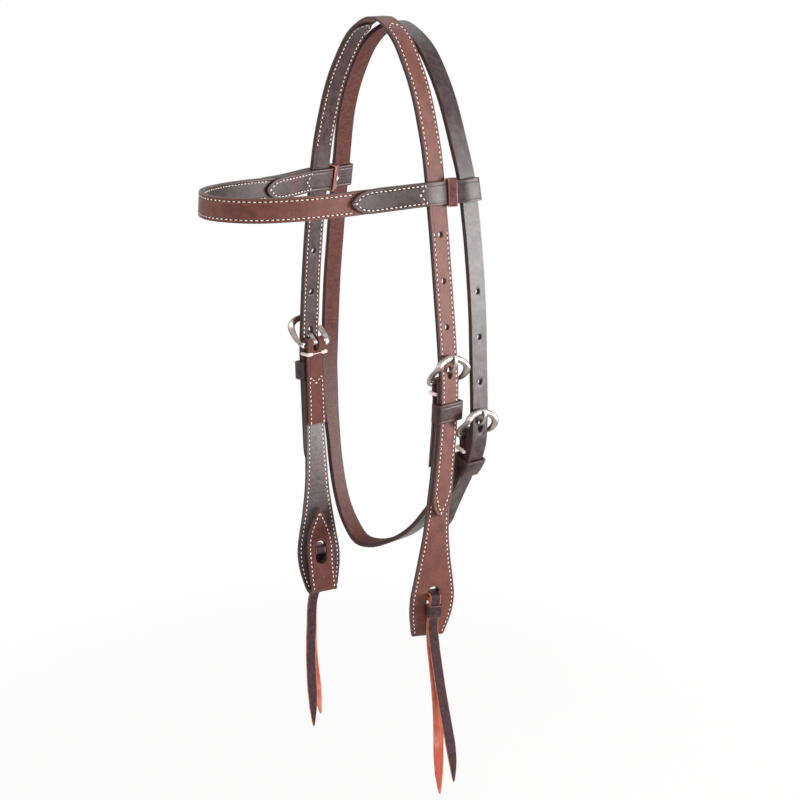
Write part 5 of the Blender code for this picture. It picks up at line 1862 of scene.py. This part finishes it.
def rounded_path(start, corners, end, radius):
    """Stations (a, b, da, db) through square corners, each rounded to a radius."""
    stops = np.array([start, *corners, end], float)
    ways = [unit(way) for way in np.diff(stops, axis=0)]
    path = [(*start, *ways[0])]
    for corner, way, turn in zip(stops[1:-1], ways, ways[1:]):
        centre = corner - radius * way + radius * turn
        for k in range(lace_bend_steps + 1):
            a = math.pi / 2 * k / lace_bend_steps
            place = centre - radius * (math.cos(a) * turn - math.sin(a) * way)
            path.append((*place, *(math.sin(a) * turn + math.cos(a) * way)))
    return path + [(*end, *ways[-1])]


def bight_route(spine):
    """The lace's middle: up out of the wrap, round in the slots, and back."""
    flap = float(np.dot(
        cheek.place(flap_place(slot_place), 0, crown_ply / 2) - crown.place(slot_place, 0, 0),
        crown.axes(slot_place)[1],
    ))
    low = wrap_place + wrap_height / 2
    below = wrap_place - wrap_height / 2 - piece_gap - thong_ply
    over = slot_place - bit_slot_height / 2 + bit_slot_corner + thong_ply / 2
    corners = [(below, back_strand), (below, flap), (over, flap), (over, front_strand)]
    start, end = (low, back_strand), (low, front_strand)
    return path_route(spine, rounded_path(start, corners, end, lace_bend))


def make_tie(side, mirrored):
    spine = spines[side]
    route = bight_route(spine)
    half = thong_width / 2
    rings = [band_outline(0.0, float(route.along[-1]), half)]
    layer = (-thong_ply / 2, thong_ply / 2, "lace_grain_out", mirrored)
    strap(f"{side}_tie_bight", rings, route, *layer)
    low = wrap_inside + wrap_ply
    half_wide = wrap_width / 2 - wrap_ply
    rings = band_rings(low, wrap_outside, half_wide, wrap_ply / 2, wrap_ply)

    def place(n, w, t):
        return spine.place(wrap_place + t, w, n)

    ring_solid(f"{side}_tie_wrap", rings, place, wrap_height, "lace_wrap", mirrored)


# A tail's route is listed: out, back and down from where it leaves the wrap
tail_start = ((0.0, 0.0, 0.0), (-0.0008, -0.0001, -0.0060))
tail_routes = {
    ("near", "front"): (
        *tail_start, (-0.0005, 0.0010, -0.0186),
        (0.0029, 0.0017, -0.0396), (0.0067, 0.0022, -0.0591), (0.0110, 0.0026, -0.0768),
        (0.0153, 0.0030, -0.0946), (0.0178, 0.0035, -0.1100), (0.0186, 0.0039, -0.1255),
    ),
    ("near", "back"): (
        *tail_start, (-0.0011, 0.0004, -0.0196),
        (0.0020, 0.0006, -0.0423), (0.0048, 0.0008, -0.0659), (0.0059, 0.0011, -0.0875),
        (0.0061, 0.0013, -0.1111), (0.0065, 0.0015, -0.1266), (0.0073, 0.0017, -0.1407),
    ),
    ("far", "front"): (
        *tail_start, (0.0012, 0.0003, -0.0160),
        (0.0066, 0.0006, -0.0310), (0.0090, 0.0012, -0.0560), (0.0100, 0.0024, -0.0795),
        (0.0096, 0.0040, -0.0975), (0.0086, 0.0058, -0.1150), (0.0074, 0.0076, -0.1325),
    ),
    ("far", "back"): (
        *tail_start, (0.0008, -0.0002, -0.0160),
        (0.0060, -0.0005, -0.0296), (0.0082, -0.0009, -0.0555), (0.0090, -0.0012, -0.0796),
        (0.0078, -0.0016, -0.1007), (0.0062, -0.0019, -0.1200), (0.0054, -0.0022, -0.1389),
    ),
}
tail_stations = 40


def make_tails(side, mirrored):
    """The lace's two free ends, each a strip laid along its own route."""
    spine = spines[side]
    flip = flips["far" if mirrored else "near"]
    leave = wrap_place + wrap_height / 2 + piece_gap
    wide = tuple(spine.axes(leave)[2])
    strands = {"front": front_strand, "back": back_strand}
    for which, n in strands.items():
        start = spine.place(leave, 0, n)
        points = [start + np.array(offset) for offset in tail_routes[side, which]]
        length = float(smooth_line(points)[1][-1])
        marks = [length * k / tail_stations for k in range(tail_stations + 1)]
        route = route_through(points, marks, 0.0, lambda mark: wide)
        end = (tip_taper, lace_tip_shares)
        rings = [band_outline(0.0, marks[-1], thong_width / 2, None, end)]
        name = f"{side}_tie_tail_{which}"
        tail = strap(
            name, rings, route, -thong_ply / 2, thong_ply / 2, lace_finishes[which], mirrored
        )
        [tuple(float(x) for x in point * flip) for point in route.points]


# Stitching: one row is a path, and geometry nodes lay the stitches along it

stitch_pitch = 0.0034
stitch_long_share = 0.64
stitch_wide = 0.00080
stitch_high = 0.00064
# The prick is a dark flat disc between stitches, painted shade for the awl's hole
prick_long = 0.00125
prick_wide = 0.00085
prick_high = 0.00018
stitch_inset = 0.0021
stitch_turn = math.radians(7)
stitch_seed = 3
ball_segments = 8
ball_rings = 6
row_step = 0.0012
# On the fold-over leg, how high above its end the stitches turn in, and their dip
m_peak = 0.0362
m_dip = 0.0044
m_peak_share = 0.86
stitch_inputs = {
    "Pitch": ("Float", stitch_pitch), "Length": ("Float", stitch_pitch * stitch_long_share),
    "Width": ("Float", stitch_wide), "Height": ("Float", stitch_high),
    "Turn": ("Float", stitch_turn), "Seed": ("Int", stitch_seed),
    "Prick length": ("Float", prick_long), "Prick width": ("Float", prick_wide),
    "Prick height": ("Float", prick_high),
    "Thread": ("Material", None), "Hole": ("Material", None),
}


def stitch_tree():
    """Stitches at an even pitch along each path, lying flat on the leather."""
    tree = bpy.data.node_groups.new("stitch row", "GeometryNodeTree")

    def tree_socket(way, name, kind, value=None):
        kind = f"NodeSocket{kind}"
        socket = tree.interface.new_socket(name=name, in_out=way, socket_type=kind)
        if value is not None:
            socket.default_value = value
        return socket.identifier

    def node(kind, inputs=None, **settings):
        return new_node(tree, kind, inputs, **settings)

    tree_socket("INPUT", "Geometry", "Geometry")
    keys = {name: tree_socket("INPUT", name, *rest) for name, rest in stitch_inputs.items()}
    tree_socket("OUTPUT", "Geometry", "Geometry")
    given = node("NodeGroupInput").outputs
    curve = node("GeometryNodeMeshToCurve", {"Mesh": given["Geometry"]}).outputs["Curve"]
    even = node(
        "GeometryNodeResampleCurve", {"Curve": curve, "Length": given["Pitch"]}, mode="LENGTH",
    )
    outward = node(
        "GeometryNodeInputNamedAttribute", {"Name": "outward"}, data_type="FLOAT_VECTOR",
    )
    stand = node(
        "FunctionNodeAlignRotationToVector", {"Vector": outward.outputs["Attribute"]}, axis="Z",
    )
    tangent = node("GeometryNodeInputTangent").outputs["Tangent"]
    along = node(
        "FunctionNodeAlignRotationToVector",
        {"Rotation": stand.outputs["Rotation"], "Vector": tangent}, axis="X", pivot_axis="Z",
    )
    minus = node("ShaderNodeMath", {0: given["Turn"], 1: -1.0}, operation="MULTIPLY")
    chance = node(
        "FunctionNodeRandomValue",
        {"Min": minus.outputs[0], "Max": given["Turn"], "Seed": given["Seed"]},
        data_type="FLOAT",
    )
    twist = node(
        "FunctionNodeAxisAngleToRotation",
        {"Axis": (0.0, 0.0, 1.0), "Angle": chance.outputs["Value"]},
    )
    both = node(
        "FunctionNodeRotateRotation",
        {"Rotation": along.outputs["Rotation"], "Rotate By": twist.outputs["Rotation"]},
        rotation_space="LOCAL",
    )
    ball = node(
        "GeometryNodeMeshUVSphere",
        {"Segments": ball_segments, "Rings": ball_rings, "Radius": 0.5},
    )
    half_pitch = node("ShaderNodeMath", {0: given["Pitch"], 1: 0.5}, operation="MULTIPLY")
    aside = node("ShaderNodeCombineXYZ", {"X": half_pitch.outputs[0]})
    together = node("GeometryNodeJoinGeometry")
    for sizes, material, offset in (
        (("Length", "Width", "Height"), "Thread", {}),
        (
            ("Prick length", "Prick width", "Prick height"), "Hole",
            {"Translation": aside.outputs["Vector"]},
        ),
    ):
        sides = {axis: given[size] for axis, size in zip("XYZ", sizes)}
        size = node("ShaderNodeCombineXYZ", sides).outputs["Vector"]
        shape = node(
            "GeometryNodeTransform",
            {"Geometry": ball.outputs["Mesh"], "Scale": size, **offset},
        )
        lay = node("GeometryNodeInstanceOnPoints", {
            "Points": even.outputs["Curve"], "Instance": shape.outputs["Geometry"],
            "Rotation": both.outputs["Rotation"],
        })
        real = node("GeometryNodeRealizeInstances", {"Geometry": lay.outputs["Instances"]})
        soft = node("GeometryNodeSetShadeSmooth", {"Geometry": real.outputs["Geometry"]})
        coat = node(
            "GeometryNodeSetMaterial",
            {"Geometry": soft.outputs["Geometry"], "Material": given[material]},
        )
        give(tree, together.inputs["Geometry"], coat.outputs["Geometry"])
    node("NodeGroupOutput", {"Geometry": together.outputs["Geometry"]})
    return tree, keys


def stitching(name, rows, body):
    """A piece of thread: stitches along rows of (place, outward) points."""
    mesh = bpy.data.meshes.new(name)
    points, ways, edges = [], [], []
    for row in rows:
        first = len(points)
        points += [place for place, way in row]
        ways += [way for place, way in row]
        edges += [(k, k + 1) for k in range(first, first + len(row) - 1)]
    mesh.from_pydata([tuple(p) for p in points], edges, [])
    outward = mesh.attributes.new("outward", "FLOAT_VECTOR", "POINT")
    outward.data.foreach_set("vector", np.array(ways, float).ravel())
    path = new_object(f"{name}_path", mesh)
    tree, keys = stitches
    lay = path.modifiers.new("stitches", "NODES")
    lay.node_group = tree
    lay[keys["Thread"]] = finish_material("thread")
    lay[keys["Hole"]] = finish_material("pricked_hole")
    piece = new_object(name, evaluated_mesh(path))
    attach(piece, body)
    return piece


def row_on(route, flat_points, n, mirrored=False):
    """A row of (u, w) corners, laid on a route's face at a height outward."""
    flip = flips["far" if mirrored else "near"]
    side = 1.0 if n > 0 else -1.0
    flat_points = np.array(flat_points, float)
    places = []
    for start, end in zip(flat_points, flat_points[1:]):
        count = max(1, int(np.linalg.norm(end - start) / row_step))
        places += [start + (end - start) * k / count for k in range(count)]
    return [
        (route.place(u, w, n) * flip, route.axes(u)[1] * side * flip)
        for u, w in [*places, flat_points[-1]]
    ]


def inset(outline, depth):
    """An open line moved sideways, to the right of its way along."""
    line = np.array(outline, float)
    ways = np.gradient(line, axis=0)
    ways /= np.linalg.norm(ways, axis=1)[:, None]
    return line + depth * np.column_stack((ways[:, 1], -ways[:, 0]))


def edge_rows(edge, depth):
    """Rows beside both edges, from the one edge's (u, w) points."""
    line = inset(edge, depth)
    line = line[line[:, 1] > 0.0]
    return [line, line * (1.0, -1.0)]


def both_ways(line):
    """A row of (u, w) corners, and the same one on the other half of the width."""
    return [[(u, w * way) for u, w in line] for way in (1, -1)]


# Stitches that the browband's loop rides over have been pressed in
pressed_in = 0.00042
pressed_reach = 0.020
pressed_fade = 0.003


def pressed(row):
    """The row, sunk where the loop strap slides over it."""
    flat = []
    for point, outward in row:
        away = abs(-float(point[2]) - browband_drop - far_side_drop / 2)
        sink = pressed_in * (1 - ease((away - pressed_reach) / pressed_fade))
        flat.append((point - outward * sink, outward))
    return flat


# Rows round a tip: along as shares of its taper or of the inset, across of the half width
crown_tip_along_shares = (0.2, 0.55)
crown_tip_wide_share = 0.62
tail_row_along_shares = (0.62, 0.45)
tail_row_wide_share = 0.60
tail_row_end_share = 1.5
fold_row_start_share = 0.6
tab_row_along_shares = (0.9, 0.4)
tab_row_wide_share = 0.72
tab_row_end_share = 1.7
tab_notch_share = 0.8


def stitch_crown(side, mirrored):
    """Two rows down each leg, through the lining, seen on both faces."""
    half = crown_width / 2 - stitch_inset
    start = lining_start + stitch_inset
    first, last = crown_tip_along_shares
    tip_first, tip_last = tail_row_along_shares
    end = tail_reach - tail_taper * tip_first
    line = [
        (start, 0.0), (start + lining_taper * first, half * crown_tip_wide_share),
        (start + lining_taper * last, half), (end - tail_taper * tip_last, half),
        (end, half * tail_row_wide_share), (tail_reach - stitch_inset * tail_row_end_share, 0.0),
    ]
    rows = []
    for height in (crown_ply, -(piece_gap + lining_ply)):
        for flat in both_ways(line):
            rows.append(pressed(row_on(spines[side], flat, height, mirrored)))
    stitching(f"crown_stitching_{side}", rows, "straps")


def stitch_cheek(side, mirrored):
    """Rows beside the cheek's edges on both faces, and round the flap."""
    seam = piece_gap / 2
    start = bar_place + lining_below_bar + stitch_inset
    edge = [p for p in cheek_edge(bar_place + lining_below_bar) if p[0] < bit_fold + cut_merge]
    rows = []
    for height, short in ((seam + crown_ply, row_step), (-(seam + lining_ply), stitch_inset)):
        for flat in edge_rows(edge, stitch_inset):
            flat = flat[(flat[:, 0] > start) & (flat[:, 0] < bit_fold + cut_merge)]
            flat[-1][0] = bit_fold - short
            rows.append(row_on(cheeks[side], flat, height, mirrored))
    flap = [p for p in cheek_edge(start) if p[0] > flap_foot - cut_merge]
    foot, half = float(cheek.along[0]), crown_width / 2 - stitch_inset
    turned_in = both_ways([
        (foot + stitch_inset * fold_row_start_share, half), (foot + m_peak - m_dip / 2, half),
        (foot + m_peak, half * m_peak_share), (foot + m_peak - m_dip, 0.0),
    ])
    for flat in edge_rows(flap, stitch_inset) + turned_in:
        rows.append(row_on(cheeks[side], flat, seam + crown_ply, mirrored))
    stitching(f"{side}_cheek_stitching", rows, "straps")


def stitch_browband():
    """A row along each edge between the two loops' tabs, on both faces."""
    half = browband_width / 2 - stitch_inset
    seam = piece_gap / 2
    faces = (
        (seam + browband_ply, browband_half - tab_length),
        (-(seam + browband_lining_ply), browband_half - inner_tab_length),
    )
    rows = []
    for height, reach in faces:
        for w in (half, -half):
            rows.append(row_on(browband, [(-reach, w), (reach, w)], height))
    stitching("browband_stitching", rows, "browband")


def stitch_tabs(side, mirrored):
    """A row round each tab's leaf, outside and inside."""
    half = browband_width / 2 - stitch_inset
    end = float(loop_routes[side].along[-1])
    first, last = tab_row_along_shares
    rows = []
    for tip, way, reach in ((0.0, 1, tab_length), (end, -1, inner_tab_length)):
        base = tip + way * (reach - stitch_inset)
        shoulder = tip + way * tab_taper * first
        leaf = [
            (base - way * half * tab_notch_share, 0.0), (base, half), (shoulder, half),
            (shoulder - way * tab_taper * last, half * tab_row_wide_share),
            (tip + way * stitch_inset * tab_row_end_share, 0.0),
        ]
        for flat in both_ways(leaf):
            rows.append(row_on(loop_routes[side], flat, loop_ply / 2, mirrored))
    stitching(f"{side}_tab_stitching", rows, "browband")


# The making

stitches = stitch_tree()
for side, mirrored in sides:
    make_tails(side, mirrored)
make_crown()
make_throat_strap()
make_throat_trim()
make_browband()
for side, mirrored in sides:
    for make in (
        make_cheek, make_cheek_trim, make_cheek_buckle, make_loop, make_divider, make_tie,
        stitch_crown, stitch_cheek, stitch_tabs,
    ):
        make(side, mirrored)
stitch_browband()


# Camera, light and floor

floor_drop = 0.60
floor_reach = 3.0
floor_sides = 96
floor_colour = (0.94, 0.93, 0.92)
shadow_near = 0.22
shadow_far = 0.62
shadow_cover = 0.84
paper_white = (1.0, 1.0, 1.0)
room_colour = (1.0, 0.985, 0.975)
room_strength = 0.36
# Name, azimuth, elevation, distance, size and power
lamps = (
    ("key lamp", 50, 42, 2.2, 1.2, 15.0),
    ("fill lamp", -10, 25, 2.4, 1.4, 16.0),
    ("side lamp", 134, -2, 2.2, 1.0, 104.0),
    ("back lamp", 200, 45, 2.4, 1.4, 6.0),
)


def aimed(name, data, azimuth, elevation, distance):
    """A camera or lamp that faces the middle of the headstall."""
    flat = math.cos(elevation)
    way = Vector((math.sin(azimuth) * flat, -math.cos(azimuth) * flat, math.sin(elevation)))
    thing = new_object(name, data, bpy.context.scene.collection)
    thing.location = Vector(camera_aim) + distance * way
    thing.rotation_euler = way.to_track_quat("Z", "Y").to_euler()
    return thing


def set_camera():
    name = "photograph view"
    data = bpy.data.cameras.new(name)
    data.lens = camera_lens
    data.sensor_width = camera_sensor
    camera = aimed(name, data, camera_azimuth, camera_elevation, camera_distance)
    bpy.context.scene.camera = camera


def soft_lamp(name, azimuth, elevation, distance, size, power):
    """A square lamp, its two angles in degrees."""
    data = bpy.data.lights.new(name, "AREA")
    data.shape = "SQUARE"
    data.size = size
    data.energy = power
    aimed(name, data, math.radians(azimuth), math.radians(elevation), distance)


def background_rays(tree):
    """1 for rays that see the background: from the camera, off gloss or through glass."""
    path = new_node(tree, "ShaderNodeLightPath").outputs
    total = path["Is Camera Ray"]
    for kind in ("Is Glossy Ray", "Is Transmission Ray"):
        both = {0: total, 1: path[kind]}
        total = new_node(tree, "ShaderNodeMath", both, operation="MAXIMUM").outputs[0]
    return total


def mix_out(tree, share, plain, seen, kind):
    """The tree's output: one shader or the other, by a share."""
    which = new_node(tree, "ShaderNodeMixShader", {0: share, 1: plain, 2: seen})
    new_node(tree, kind, {"Surface": which.outputs["Shader"]})


def set_light():
    for lamp in lamps:
        soft_lamp(*lamp)
    world = bpy.context.scene.world or bpy.data.worlds.new("studio")
    bpy.context.scene.world = world
    world.use_nodes = True
    tree = world.node_tree
    tree.nodes.clear()
    light = {"Color": (*room_colour, 1.0), "Strength": room_strength}
    room = new_node(tree, "ShaderNodeBackground", light).outputs["Background"]
    paper = {"Color": (*paper_white, 1.0)}
    seen = new_node(tree, "ShaderNodeBackground", paper).outputs["Background"]
    mix_out(tree, background_rays(tree), room, seen, "ShaderNodeOutputWorld")


def floor_finish():
    """Pale and shaded under the headstall, and as white as the backdrop further out."""
    material = bpy.data.materials.new("pale floor")
    material.use_nodes = True
    tree = material.node_tree
    tree.nodes.clear()
    lit = new_node(tree, "ShaderNodeBsdfDiffuse", {"Color": (*floor_colour, 1.0)})
    glow = new_node(tree, "ShaderNodeEmission", {"Color": (*paper_white, 1.0)})
    place = new_node(tree, "ShaderNodeTexCoord").outputs["Object"]
    flat = new_node(
        tree, "ShaderNodeVectorMath", {0: place, 1: (1.0, 1.0, 0.0)}, operation="MULTIPLY",
    )
    away = new_node(
        tree, "ShaderNodeVectorMath", {0: flat.outputs["Vector"]}, operation="LENGTH",
    )
    ends = {"From Min": shadow_near, "From Max": shadow_far, "To Min": shadow_cover}
    fade = new_node(
        tree, "ShaderNodeMapRange", {"Value": away.outputs["Value"], **ends},
        interpolation_type="SMOOTHSTEP",
    )
    share = {0: background_rays(tree), 1: fade.outputs["Result"]}
    share = new_node(tree, "ShaderNodeMath", share, operation="MULTIPLY").outputs[0]
    mix_out(
        tree, share, lit.outputs["BSDF"], glow.outputs["Emission"], "ShaderNodeOutputMaterial",
    )
    return material


def make_floor():
    """A pale floor under the hanging headstall."""
    mesh = bpy.data.meshes.new("floor")
    bm = bmesh.new()
    bmesh.ops.create_circle(bm, cap_ends=True, segments=floor_sides, radius=floor_reach)
    bm.to_mesh(mesh)
    bm.free()
    mesh.transform(Matrix.Translation((0.0, 0.0, -floor_drop)))
    mesh.materials.append(floor_finish())
    new_object("studio_floor", mesh, bpy.context.scene.collection)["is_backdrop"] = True


set_camera()
set_light()
make_floor()
bpy.context.scene.view_settings.view_transform = "Standard"

boxes = {"cad": cad_box, "visual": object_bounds()}
plain = {name: [[float(x) for x in corner] for corner in box] for name, box in boxes.items()}
